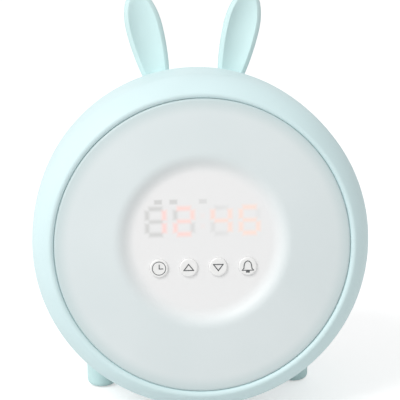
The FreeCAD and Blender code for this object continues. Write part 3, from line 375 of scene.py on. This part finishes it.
def frostedPanel():
    finish = Finish("frosted_panel", 0.5, **{"Coat Weight": 0.15, "Coat Roughness": 0.35})
    x, depth, height = finish.facePlace()
    cloud = finish.noise(0.018, 2.0).fade(0.3, 0.7)
    panelTone = finish.mix(cloud, rgb(222, 231, 232), rgb(226, 234, 235))
    rise = height - display["recessRise"]
    radius = (x * x + rise * rise).maths("SQRT")
    # painted light: the recess floor is painted whiter, standing in for the lit display behind shining
    # through the panel
    paintedBacklight = radius.fade(display["edgeRadius"], display["floorRadius"] - 2)
    tone = finish.mix(paintedBacklight, panelTone, rgb(243, 243, 243))
    # painted shade: the rolled edge is darkened toward a grey mint, standing in for the shade that the
    # casing's rim casts on it
    paintedEdgeShade = (x * x + height * height).maths("SQRT").fade(*display["edgeShadeBand"])
    tone = finish.mix(paintedEdgeShade * 0.6, tone, rgb(190, 210, 211))
    # the cell that a point lies in, and the place within it
    middles = display["cellMiddles"]
    steps = [x.maths("GREATER_THAN", (low + high) / 2) for low, high in zip(middles, middles[1:])]
    across = x - middles[0]
    for step, (low, high) in zip(steps, zip(middles, middles[1:])):
        across = across - step * (high - low)
    gates = [1.0 - steps[0], steps[0] - steps[1], steps[1] - steps[2], steps[2]]
    up = height - display["rise"]
    width, tall = display["cellWidth"], display["cellHeight"]
    stroke, soft = display["stroke"], display["soft"]
    side, half = (width - stroke) / 2, (tall - stroke) / 2
    long, high = width - stroke * 1.9, half - stroke * 0.9
    bars = [(0, half, long, stroke), (-side, half / 2, stroke, high), (side, half / 2, stroke, high),
            (-side, -half / 2, stroke, high), (side, -half / 2, stroke, high), (0, 0, long, stroke * 0.8),
            (0, -half, long, stroke)]
    patterns = litSegments(display["shown"])
    lit, dark = None, None
    for index, bar in enumerate(bars):
        mask = barMask(across, up, *bar, soft)
        shown = sum((gate for gate, pattern in zip(gates, patterns) if pattern[index] == "1"), gates[0] * 0.0)
        lit = mask * shown if lit is None else lit.largest(mask * shown)
        hidden = mask * (1.0 - shown)
        dark = hidden if dark is None else dark.largest(hidden)
    colon = display["colonSize"]
    for place in (-display["colonRise"], display["colonRise"]):
        lit = lit.largest(barMask(x, up, 0, place, colon, colon, soft) * 0.18)
    for place in display["dotPlaces"]:
        dark = dark.largest(barMask(x, height, place, display["dotHeight"], *display["dotSize"],
                                    display["dotSoft"]))
    # bars on the left stand out more, as they do on the product
    leftward = x.fade(24.0, -26.0)
    tone = finish.mix(dark * (leftward * 0.8 + 0.2), tone, rgb(217, 217, 216))
    litTone = finish.mix(leftward, rgb(250, 222, 208), rgb(252, 207, 203))
    tone = finish.mix(lit * 0.85, tone, litTone)
    finish.feed("Base Color", tone)
    finish.feed("Emission Color", finish.mix(lit, rgb(0, 0, 0), rgb(255, 196, 186)))
    finish.shader.inputs["Emission Strength"].default_value = 0.10
    grain = finish.noise(4.0, 2.0)
    finish.feed("Roughness", grain * 0.08 + 0.46)
    finish.bump(grain, 0.00002, 0.4)
    return finish.material


panelFinish = frostedPanel()

# Finishes of the inside and of the small parts that show

def plainFinish(name, first, second, roughness, metallic=0.0, scale=1.5, depth=0.00003, **settings):
    finish = Finish(name, roughness, metallic, **settings)
    tone = finish.noise(scale, 4.0).fade(0.3, 0.7)
    finish.feed("Base Color", finish.mix(tone, first, second))
    finish.feed("Roughness", tone * 0.12 + (roughness - 0.06))
    finish.bump(tone, depth, 0.5)
    return finish.material


innerFinishes = {
    "pads": plainFinish("pad_rubber", rgb(212, 218, 218), rgb(222, 227, 227), 0.8, scale=2.0),
    "screw_steel": plainFinish("screw_steel", rgb(168, 170, 172), rgb(188, 190, 192), 0.34, 1.0, 6.0),
    "board": plainFinish("green_board", rgb(24, 92, 52), rgb(32, 108, 62), 0.38, scale=0.6),
    "white_board": plainFinish("white_board", rgb(226, 226, 222), rgb(238, 238, 234), 0.36, scale=0.6),
    "black_plastic": plainFinish("black_plastic", rgb(30, 30, 31), rgb(42, 42, 43), 0.55),
    "display": plainFinish("smoked_display", rgb(34, 34, 37), rgb(44, 44, 47), 0.22),
    "tray": plainFinish("white_tray", rgb(240, 240, 238), rgb(247, 247, 245), 0.32),
    "led": plainFinish("lamp_resin", rgb(240, 226, 170), rgb(250, 242, 200), 0.2),
    "cell_sleeve": plainFinish("cell_sleeve", rgb(48, 92, 156), rgb(58, 106, 172), 0.3, scale=0.4),
    "basket": plainFinish("basket_paint", rgb(42, 42, 44), rgb(54, 54, 56), 0.45, 0.6, 3.0),
    "paper": plainFinish("cone_paper", rgb(36, 36, 37), rgb(52, 52, 52), 0.85, scale=3.5, depth=0.0001),
    "magnet": plainFinish("magnet_iron", rgb(70, 70, 72), rgb(84, 84, 86), 0.6, 0.8, 2.0, 0.0001),
    "socket": plainFinish("socket_steel", rgb(196, 197, 199), rgb(212, 213, 215), 0.26, 1.0, 5.0),
    "red_lead": plainFinish("red_lead", rgb(168, 30, 26), rgb(188, 42, 36), 0.4),
    "white_lead": plainFinish("white_lead", rgb(226, 226, 224), rgb(238, 238, 236), 0.4),
    "casing": casingFinish, "ears": earFinish, "feet": footFinish, "diffuser": panelFinish, "keys": keyFinish,
    "rear_keys": rearKeyFinish,
}
for subpart in frame["record"]["subparts"]:
    node = frame["nodes"][subpart["node"]]
    if not node.material_slots:
        node.data.materials.append(None)
    for place in node.material_slots:
        place.material = innerFinishes[subpart["material_slot"]]
print("finishes done")


# Casing: tangent arcs as in the CAD shells, with a softer shoulder and the edges at the seam eased

softTurn = math.radians(casing["softTurn"])
shoulderRise = casing["softShoulder"] - casing["noseRadius"]
noseCircle = (noseCentre, casing["noseRadius"])
noseEnd = (noseCentre + casing["noseRadius"] * math.cos(softTurn),
           casing["noseRadius"] * (1 - math.sin(softTurn)))
shoulderCircle = (noseCentre - shoulderRise * math.cos(softTurn),
                  casing["noseRadius"] + shoulderRise * math.sin(softTurn))
flankRadius = bridgeRadius(casing["bodyRadius"] - shoulderCircle[0],
                           casing["widestDepth"] - shoulderCircle[1], casing["softShoulder"])
flankCircle = (casing["bodyRadius"] - flankRadius, casing["widestDepth"])
backCircle = (casing["bodyRadius"] - backArc, casing["widestDepth"])
cornerCircle = (casing["backRadius"], cornerDepth)


def meet(origin, toward, length, distance):
    share = length / distance
    return (origin[0] + (toward[0] - origin[0]) * share, origin[1] + (toward[1] - origin[1]) * share)


def shoulderEnd(inset):
    return meet(flankCircle, shoulderCircle, flankRadius - inset, flankRadius - casing["softShoulder"])


def cornerStart(inset):
    return meet(backCircle, cornerCircle, backArc - inset, backArc - casing["backCorner"])


def widest(inset):
    return (casing["bodyRadius"] - inset, casing["widestDepth"])


def backAt(depth, inset=0.0):
    return (backCircle[0] + math.sqrt((backArc - inset) ** 2 - (depth - casing["widestDepth"]) ** 2), depth)


def outerRadius(depth):
    # radius of the casing's outside at a depth
    if depth > casing["widestDepth"]:
        return backAt(min(depth, cornerStart(0)[1]))[0]
    return flankCircle[0] + math.sqrt(flankRadius ** 2 - (depth - casing["widestDepth"]) ** 2)


def frontShellMesh():
    wall, lip, seam, ease = casing["wall"], casing["lipDepth"], casing["seamDepth"], casing["seamRound"]
    inside = casing["softShoulder"] - wall
    lipInside = shoulderCircle[0] + math.sqrt(inside ** 2 - (shoulderCircle[1] - lip) ** 2)
    outline = arcPoints((casing["rimRadius"], casing["noseRadius"]), noseEnd, noseCircle, 12)
    outline += arcPoints(noseEnd, shoulderEnd(0), shoulderCircle, 20)
    outline += arcPoints(shoulderEnd(0), widest(0), flankCircle, 30)
    outline += arcPoints(widest(0), backAt(seam - ease), backCircle, 16)
    edge = backAt(seam)[0]
    outline += [backAt(seam - ease), (edge - ease * 0.3, seam - ease * 0.3), (edge - ease, seam)]
    outline += arcPoints(backAt(seam, wall), widest(wall), backCircle, 6)
    outline += arcPoints(widest(wall), shoulderEnd(wall), flankCircle, 10)
    outline += [shoulderEnd(wall), (lipInside, lip), (casing["rimRadius"], lip)]
    return spunMesh(outline, casing["turnSteps"])


def rearShellMesh():
    wall, seam, ease = casing["wall"], casing["seamDepth"] + casing["seamGap"], casing["seamRound"]
    tongue = backAt(casing["seamDepth"], wall)[0] - casing["tongueGap"]
    tongueEnd = casing["seamDepth"] - casing["tongueLength"]
    edge = backAt(seam)[0]
    back, flatRadius = casing["bodyDepth"], casing["backRadius"]
    outline = [(tongue, seam), (edge - ease, seam), (edge - ease * 0.3, seam + ease * 0.3)]
    outline += arcPoints(backAt(seam + ease), cornerStart(0), backCircle, 22)
    outline += arcPoints(cornerStart(0), (flatRadius, back), cornerCircle, 10)
    outline += [(radius, back) for radius in (flatRadius, 30.0, 15.0, 0.0)]
    outline += [(radius, back - wall) for radius in (0.0, 20.0)]
    outline += arcPoints((flatRadius, back - wall), cornerStart(wall), cornerCircle, 5)
    outline += arcPoints(cornerStart(wall), backAt(seam + 2.0, wall), backCircle, 10)
    outline += [(tongue - casing["tongueWall"], seam), (tongue - casing["tongueWall"], tongueEnd),
                (tongue, tongueEnd)]
    return spunMesh(outline, casing["turnSteps"])


rear = {
    "wellCircle": 68.5,
    "wellRadius": 2.9,
    "wellWall": 4.6,
    "wellStart": 83.3,
    "wellFloor": 85.7,
    "wellBore": 1.5,
    "grilleRise": 17.0,
    "grilleHole": 1.1,
    "grillePitch": 4.2,
    "grilleRings": 3,
    "keySpread": 19.0,
    "keyDrop": 20.0,
    "keyHole": 4.8,
    "socketDrop": 31.0,
    "socketSize": (9.6, 8.0, 3.9),
    "socketEdge": 1.2,
}


def rearCutters(wellPlaces):
    back = casing["bodyDepth"]
    meshes = [rodMesh(rear["wellRadius"], rear["wellFloor"], back, x, z) for x, z in wellPlaces]
    for ring in range(rear["grilleRings"] + 1):
        for x, z in ringPlaces(max(1, 6 * ring), rear["grillePitch"] * ring):
            meshes.append(rodMesh(rear["grilleHole"], back - 4, back + 2, x, z + rear["grilleRise"], 20))
    for side in (-1, 1):
        across = rear["keySpread"] * side
        meshes.append(rodMesh(rear["keyHole"], back - 4, back + 2, across, -rear["keyDrop"], 64))
    meshes.append(boxMesh(rear["socketSize"], (0, back, -rear["socketDrop"]), rear["socketEdge"], 4))
    return meshes


def wellMesh(x, z):
    # a screw well that ends in the rear wall, which slopes across it
    outline = [(rear["wellBore"], rear["wellStart"]), (rear["wellWall"], rear["wellStart"])]
    outline += [(rear["wellWall"], casing["bodyDepth"]), (rear["wellRadius"], casing["bodyDepth"]),
                (rear["wellRadius"], rear["wellFloor"]), (rear["wellBore"], rear["wellFloor"])]
    mesh = spunMesh(outline, 48)
    bmesh.ops.translate(mesh, vec=(x, 0, z), verts=mesh.verts)
    for vert in mesh.verts:
        if vert.co.y > rear["wellFloor"] + 1:
            across = math.hypot(vert.co.x, vert.co.z) - backCircle[0]
            vert.co.y = casing["widestDepth"] + math.sqrt((backArc - casing["wall"] / 3) ** 2 - across ** 2)
    return mesh


frontShell = finishPiece("casing_front", frontShellMesh(), faceMatrix, casingFinish)
dress(frontShell, "clock", "casing", "front_shell")
rearShell = finishPiece("casing_rear", rearShellMesh(), faceMatrix, casingFinish)
wellPlaces = ringPlaces(4, rear["wellCircle"], math.pi / 4)
carve(rearShell, rearCutters(wellPlaces))
dress(rearShell, "clock", "casing", "rear_shell")
wells = finishPiece("screw_wells", joined([wellMesh(x, z) for x, z in wellPlaces]), faceMatrix, casingFinish)
dress(wells, "clock", "casing")
print("casing done")


def settle(mesh, direction, sink=0.25):
    # points inside the casing move along a direction to just under its surface
    for vert in mesh.verts:
        for _ in range(6):
            gap = outerRadius(vert.co.y) - sink - math.hypot(vert.co.x, vert.co.z)
            if gap < 0.01:
                break
            vert.co += Vector(direction) * gap


# Ears: an outline turned, flattened and scooped at the front

ear = {
    "depth": 66.0,
    "splay": 13.6,
    "length": 45.5,
    "widest": 25.0,
    "width": 19.5,
    "baseWidth": 14.6,
    "thickness": 12.0,
    "root": 6.0,
    "rim": 2.5,
    "scoop": 5.0,
    "scoopBow": 4.8,
    "soften": 3.0,
    "turnSteps": 224,
}


def earHalfWidth(height, inset=0.0):
    half, base = ear["width"] / 2 - inset, ear["baseWidth"] / 2 - inset
    tip = ear["length"] - inset
    if height > ear["widest"]:
        return half * math.sqrt(max(0.0, 1 - ((height - ear["widest"]) / (tip - ear["widest"])) ** 2))
    bulge = (ear["widest"] ** 2 + (half - base) ** 2) / (2 * (half - base))
    return half - bulge + math.sqrt(bulge ** 2 - (ear["widest"] - height) ** 2)


def earMesh(side):
    rows = [-ear["root"] + (ear["widest"] + ear["root"]) * step / 44 for step in range(44)]
    rows += [ear["widest"] + (ear["length"] - ear["widest"]) * math.sin(math.pi / 2 * step / 40)
             for step in range(41)]
    outline = [(0, rows[0])] + [(earHalfWidth(height), height) for height in rows[:-1]] + [(0, ear["length"])]
    mesh = spunMesh(outline, ear["turnSteps"], True)
    flatten = ear["thickness"] / ear["width"]
    bow = ear["scoopBow"] / (ear["width"] / 2 - ear["rim"])
    middle = ear["scoop"] - ear["thickness"] / 2 - ear["scoopBow"]
    for vert in mesh.verts:
        vert.co.y *= flatten
        half = earHalfWidth(vert.co.z, ear["rim"])
        if vert.co.y < 0 and half > abs(vert.co.x):
            hollow = middle + bow * math.sqrt(half ** 2 - vert.co.x ** 2)
        else:
            hollow = middle - max(0.0, abs(vert.co.x) - half)
        if vert.co.y < 0:
            step = vert.co.y - hollow
            vert.co.y = (vert.co.y + hollow + math.sqrt(step ** 2 + ear["soften"] ** 2)) / 2
    base = backAt(ear["depth"])[0]
    turn = math.radians(ear["splay"]) * side
    place = (Matrix.Translation((base * math.sin(turn), ear["depth"], base * math.cos(turn)))
             @ Matrix.Rotation(turn, 4, "Y"))
    bmesh.ops.transform(mesh, matrix=place, verts=mesh.verts)
    settle(mesh, (math.sin(turn), 0, math.cos(turn)))
    bmesh.ops.recalc_face_normals(mesh, faces=mesh.faces)
    return mesh


for name, side in (("ear_left", -1), ("ear_right", 1)):
    dress(finishPiece(name + "_form", earMesh(side), faceMatrix, earFinish, 50), "clock", "ears", name)
print("ears done")

# Feet: round stubs with a well rounded lower edge, whose tops follow the casing

feet = {
    "spread": 52.5,
    "back": 56.0,
    "rearSpread": 26.0,
    "rearBack": 83.0,
    "radius": 8.0,
    "edge": 2.8,
    "lift": 0.5,
    "padGap": 4.3,
    "padHeight": 1.2,
}
feetPlaces = {
    "foot_front_left": (-feet["spread"], feet["back"]),
    "foot_front_right": (feet["spread"], feet["back"]),
    "foot_rear_left": (-feet["rearSpread"], feet["rearBack"]),
    "foot_rear_right": (feet["rearSpread"], feet["rearBack"]),
}


def footMesh(x, back):
    radius, edge, lift = feet["radius"], feet["edge"], feet["lift"]
    outline = [(0, feet["padHeight"]), (feet["padGap"], feet["padHeight"]), (feet["padGap"], lift)]
    outline += arcPoints((radius - edge, lift), (radius, lift + edge), (radius - edge, lift + edge), 10)
    outline += [(radius, lift + edge + 0.8 * step) for step in range(46)] + [(0, lift + edge + 36)]
    mesh = spunMesh(outline, 96, True)
    toFace = Matrix.Rotation(lean, 4, "X") @ Matrix.Translation((x, back, -faceHeight))
    bmesh.ops.transform(mesh, matrix=toFace, verts=mesh.verts)
    settle(mesh, (0, math.sin(lean), -math.cos(lean)))
    bmesh.ops.dissolve_degenerate(mesh, dist=0.01, edges=mesh.edges)
    bmesh.ops.recalc_face_normals(mesh, faces=mesh.faces)
    return mesh


for name, (x, back) in feetPlaces.items():
    dress(finishPiece(name + "_form", footMesh(x, back), faceMatrix, footFinish), "clock", "feet", name)
print("feet done")

# Frosted panel: a shallow dome with a rolled edge and a round recess

panel = {
    "gap": 0.05,
    "wall": 2.0,
    "crown": 3.8,
    "roll": 1.5,
    "rollDepth": 1.8,
    "flange": 3.8,
    "flangeHeight": 2.2,
    "recessDepth": 4.5,
    "row": 0.8,
    "innerRow": 2.6,
    "turnSteps": 288,
    "keyHole": 4.71,
}
keys = {
    "places": {"clock_button": -22.125, "up_button": -7.375, "down_button": 7.375, "alarm_button": 22.125},
    "drop": 10.2,
    "radius": 4.65,
    "proud": 1.0,
    "edge": 0.7,
    "flange": 1.1,
    "flangeHeight": 1.0,
    "crown": [(0, 0.12), (1.5, 0.1), (2.8, 0.03)],
    "runGap": 0.3,
    "stem": 1.9,
    "faceStem": 5.0,
    "rearStem": 5.9,
}
panelEdge = casing["rimRadius"] - panel["gap"]
rollCircle = (panelEdge - panel["roll"], panel["rollDepth"])
domeRadius = bridgeRadius(panel["rollDepth"] + panel["crown"], rollCircle[0], panel["roll"])
domeMiddle = domeRadius - panel["crown"]
floorDepth = panel["recessDepth"] - panel["crown"]


def domeDepth(radius, inset=0.0):
    return domeMiddle - math.sqrt((domeRadius - inset) ** 2 - radius ** 2)


def domeEnd(inset):
    share = (domeRadius - inset) / (domeRadius - panel["roll"])
    return (rollCircle[0] * share, domeMiddle + (panel["rollDepth"] - domeMiddle) * share)


def domeRows(inset, row):
    # points of the dome from its middle to its rolled edge
    end = domeEnd(inset)[0]
    count = round(end / row)
    return [(end * step / count, domeDepth(end * step / count, inset)) for step in range(count)]


def panelMesh():
    wall, lip = panel["wall"], casing["lipDepth"]
    flange, flangeBack = casing["rimRadius"] + panel["flange"], lip + panel["flangeHeight"]
    outline = domeRows(0.0, panel["row"])
    outline += arcPoints(domeEnd(0.0), (panelEdge, panel["rollDepth"]), rollCircle, 12)
    outline += [(panelEdge, panel["rollDepth"]), (panelEdge, lip), (flange, lip), (flange, flangeBack),
                (panelEdge - wall, flangeBack)]
    outline += [(panelEdge - wall, panel["rollDepth"] + wall)]
    outline += [domeEnd(wall)] + domeRows(wall, panel["innerRow"])[::-1]
    mesh = spunMesh(outline, panel["turnSteps"])
    floorRadius, edgeRadius = display["floorRadius"], display["edgeRadius"]
    for vert in mesh.verts:
        around = math.hypot(vert.co.x, vert.co.z)
        reach = math.hypot(vert.co.x, vert.co.z - display["recessRise"])
        if reach >= edgeRadius:
            continue
        share = max(0.0, (reach - floorRadius) / (edgeRadius - floorRadius))
        blend = 2 * share ** 2 if share < 0.5 else 1 - 2 * (1 - share) ** 2
        inset = wall if vert.co.y > domeDepth(around) + wall / 2 else 0.0
        vert.co.y = (floorDepth + inset) * (1 - blend) + domeDepth(around, inset) * blend
    bmesh.ops.recalc_face_normals(mesh, faces=mesh.faces)
    return mesh


frostedPiece = finishPiece("frosted_front", panelMesh(), faceMatrix, panelFinish, 40)
carve(frostedPiece, [rodMesh(panel["keyHole"], floorDepth - 3, floorDepth + 5, x, -keys["drop"], 96)
                     for x in keys["places"].values()], 40)
dress(frostedPiece, "clock", "diffuser", "diffuser_panel")
print("panel done")


# Keys: turned caps with an eased edge, and marks that ride on them

def keyMesh(front, wallInside, stemEnd):
    radius, edge, runGap = keys["radius"], keys["edge"], keys["runGap"]
    flangeFront = wallInside + runGap
    outline = [(across, front + sink) for across, sink in keys["crown"]]
    outline += arcPoints((radius - edge, front), (radius, front + edge), (radius - edge, front + edge), 8)
    outline += [(radius, front + edge), (radius, flangeFront), (radius + keys["flange"], flangeFront),
                (radius + keys["flange"], flangeFront + keys["flangeHeight"]),
                (keys["stem"], flangeFront + keys["flangeHeight"]), (keys["stem"], stemEnd), (0, stemEnd)]
    return spunMesh(outline, 96)


mark = {
    "stroke": 0.45,
    "height": 0.05,
    "ring": 3.3,
    "lampRing": 1.5,
    "hands": [(0.1, 1.75), (0.1, -0.2), (1.9, -0.2)],
    "upArrow": [(-2.4, -1.35), (2.4, -1.35), (0, 1.75), (-2.4, -1.35)],
    "downArrow": [(-2.4, 1.35), (2.4, 1.35), (0, -1.75), (-2.4, 1.35)],
    "bellSide": [(2.85, -1.95), (2.0, -0.9), (1.85, 0.7), (1.5, 1.75), (0.85, 2.5), (0.0, 2.8)],
    "clapper": (1.9, 1.1),
    "clapperDrop": 2.6,
    "speaker": [(-1.2, 0.9), (-0.2, 2.0), (-0.2, -2.0), (-1.2, -0.9), (-2.2, -0.9), (-2.2, 0.9), (-1.2, 0.9)],
    "waves": [(0.9, 0.7), (1.9, 1.4)],
}


def strokeMesh(start, end, width):
    # a flat bar with eased ends between two places (across, up)
    length = math.hypot(end[0] - start[0], end[1] - start[1])
    turn = math.atan2(end[1] - start[1], end[0] - start[0])
    middle = ((start[0] + end[0]) / 2, 0, (start[1] + end[1]) / 2)
    return boxMesh((length + width, mark["height"], width), middle, mark["height"] * 0.4, 1, -turn)


def ringMesh(radius, width, x=0.0, z=0.0):
    tall = mark["height"] / 2
    mesh = spunMesh([(radius - width / 2, -tall), (radius + width / 2, -tall), (radius + width / 2, tall),
                     (radius - width / 2, tall)], 72)
    bmesh.ops.translate(mesh, vec=(x, 0, z), verts=mesh.verts)
    return mesh


def loopMeshes(points, width):
    return [strokeMesh(start, end, width) for start, end in zip(points, points[1:])]


def bellPoints():
    side = mark["bellSide"]
    return [(-x, z) for x, z in side] + side[::-1][1:] + [(-side[0][0], side[0][1])]


def markMeshes(name):
    stroke = mark["stroke"]
    if name == "clock_button":
        return [ringMesh(mark["ring"], stroke * 0.85)] + loopMeshes(mark["hands"], stroke)
    if name == "up_button":
        return loopMeshes(mark["upArrow"], stroke * 1.1)
    if name == "down_button":
        return loopMeshes(mark["downArrow"], stroke * 1.1)
    if name == "alarm_button":
        width, tall = mark["clapper"]
        clapper = boxMesh((width, mark["height"], tall), (0, 0, -mark["clapperDrop"]), 0.02, 1)
        return loopMeshes(bellPoints(), stroke) + [clapper]
    if name == "light_button":
        rays = [strokeMesh((x * 2.2, z * 2.2), (x * 2.8, z * 2.8), stroke * 0.8)
                for x, z in ringPlaces(8, 1.0)]
        return [ringMesh(mark["lampRing"], stroke * 0.8)] + rays
    waves = [strokeMesh((across, -reach), (across, reach), stroke * 0.8) for across, reach in mark["waves"]]
    return loopMeshes(mark["speaker"], stroke * 0.8) + waves


bodyNames = {"clock_button": "clock_key", "up_button": "up_key", "down_button": "down_key",
             "alarm_button": "alarm_key", "light_button": "light_key", "sound_button": "sound_key"}


def addKey(name, place, capMesh, capFinish, slot, markDepth):
    cap = finishPiece(name + "_cap", capMesh, place, capFinish)
    dress(cap, bodyNames[name], slot, name)
    markPlace = place @ Matrix.Translation((0, markDepth * mm, 0))
    printed = finishPiece(name + "_mark", joined(markMeshes(name)), markPlace, markFinish)
    dress(printed, bodyNames[name], slot)


front = floorDepth - keys["proud"]
for name, x in keys["places"].items():
    place = faceMatrix @ Matrix.Translation((x * mm, 0, -keys["drop"] * mm))
    capMesh = keyMesh(front, floorDepth + panel["wall"], keys["faceStem"])
    addKey(name, place, capMesh, keyFinish, "keys", front)
for name, x in (("light_button", -rear["keySpread"]), ("sound_button", rear["keySpread"])):
    place = (faceMatrix @ Matrix.Translation((x * mm, casing["bodyDepth"] * mm, -rear["keyDrop"] * mm))
             @ Matrix.Rotation(math.pi, 4, "Z"))
    capMesh = keyMesh(-keys["proud"], casing["wall"], keys["rearStem"])
    addKey(name, place, capMesh, rearKeyFinish, "rear_keys", -keys["proud"])
print("keys done")


# Floor, lights and camera

studio = {
    "floorSize": 12.0,
    "floorGlow": 0.50,
    "ambient": 0.60,
    "keyPlace": (-1.35, -1.25, 2.1),
    "keySize": 1.3,
    "keyPower": 36.0,
    "fillPlace": (-1.9, -0.5, 0.7),
    "fillSize": 1.6,
    "fillPower": 4.0,
}


def cameraShare(tree):
    # 1 for rays that show the background itself, straight or by reflection
    paths = Wire(tree, None).node("ShaderNodeLightPath", None).outputs
    seen = [Wire(tree, paths[name]) for name in ("Is Camera Ray", "Is Glossy Ray", "Is Transmission Ray")]
    return seen[0].largest(seen[1]).largest(seen[2])


def floorFinish():
    finish = Finish("studio_floor", 0.9)
    cloud = finish.noise(0.004, 2.0)
    finish.feed("Base Color", finish.mix(cloud, rgb(222, 222, 222), rgb(224, 224, 224)))
    glow = Wire(finish.tree, None).node("ShaderNodeEmission", None, Color=(1, 1, 1, 1))
    finish.tree.links.new((cameraShare(finish.tree) * studio["floorGlow"]).socket, glow.inputs["Strength"])
    both = Wire(finish.tree, None).node("ShaderNodeAddShader", None,
                                        i0=Wire(finish.tree, finish.shader.outputs[0]),
                                        i1=Wire(finish.tree, glow.outputs[0]))
    output = next(node for node in finish.tree.nodes if node.type == "OUTPUT_MATERIAL")
    finish.tree.links.new(both.outputs[0], output.inputs["Surface"])
    return finish.material


floorMesh = bmesh.new()
bmesh.ops.create_grid(floorMesh, x_segments=8, y_segments=8, size=studio["floorSize"] / 2 / mm)
finishPiece("floor", floorMesh, Matrix.Identity(4), floorFinish())

world = bpy.data.worlds.new("studio")
bpy.context.scene.world = world
world.use_nodes = True
background = world.node_tree.nodes["Background"]
strength = cameraShare(world.node_tree) * (1.0 - studio["ambient"]) + studio["ambient"]
world.node_tree.links.new(strength.socket, background.inputs["Strength"])
background.inputs["Color"].default_value = (1.0, 1.0, 1.0, 1.0)


def softLight(name, place, size, power):
    data = bpy.data.lights.new(name, "AREA")
    data.shape = "DISK"
    data.size = size
    data.energy = power
    lamp = bpy.data.objects.new(name, data)
    lamp.location = place
    lamp.rotation_euler = (Vector((0, 0, 0.09)) - Vector(place)).to_track_quat("-Z", "Y").to_euler()
    bpy.context.scene.collection.objects.link(lamp)


softLight("key_light", studio["keyPlace"], studio["keySize"], studio["keyPower"])
softLight("fill_light", studio["fillPlace"], studio["fillSize"], studio["fillPower"])

view = {
    "distance": 0.70,
    "azimuth": 3.5,
    "elevation": 16.3,
    "roll": 0.4,
    "focal": 1410.0,
    "middle": (203.2, 247.2),
}


def addCamera():
    # the panel's middle lands on its place in a frame 400 across
    across, up = math.radians(view["azimuth"]), math.radians(view["elevation"])
    back = Vector((-math.sin(across) * math.cos(up), -math.cos(across) * math.cos(up), math.sin(up)))
    level = Vector((math.cos(across), -math.sin(across), 0))
    upright = back.cross(level)
    roll = math.radians(view["roll"])
    right = level * math.cos(roll) - upright * math.sin(roll)
    top = level * math.sin(roll) + upright * math.cos(roll)
    rightShare = (view["middle"][0] - 200) / view["focal"]
    topShare = (view["middle"][1] - 200) / view["focal"]
    aim = -back + top * topShare - right * rightShare
    aim.normalize()
    side = aim.cross(top).normalized()
    turn = Matrix((side, side.cross(aim), -aim)).transposed()
    data = bpy.data.cameras.new("camera")
    data.lens = view["focal"] * 36 / 400
    data.sensor_width = 36
    camera = bpy.data.objects.new("camera", data)
    place = Vector((0, faceY * mm, faceHeight * mm)) + back * view["distance"]
    camera.matrix_world = Matrix.Translation(place) @ turn.to_4x4()
    bpy.context.scene.collection.objects.link(camera)
    bpy.context.scene.camera = camera


addCamera()
bpy.context.scene.view_settings.view_transform = "Standard"
print("studio done")
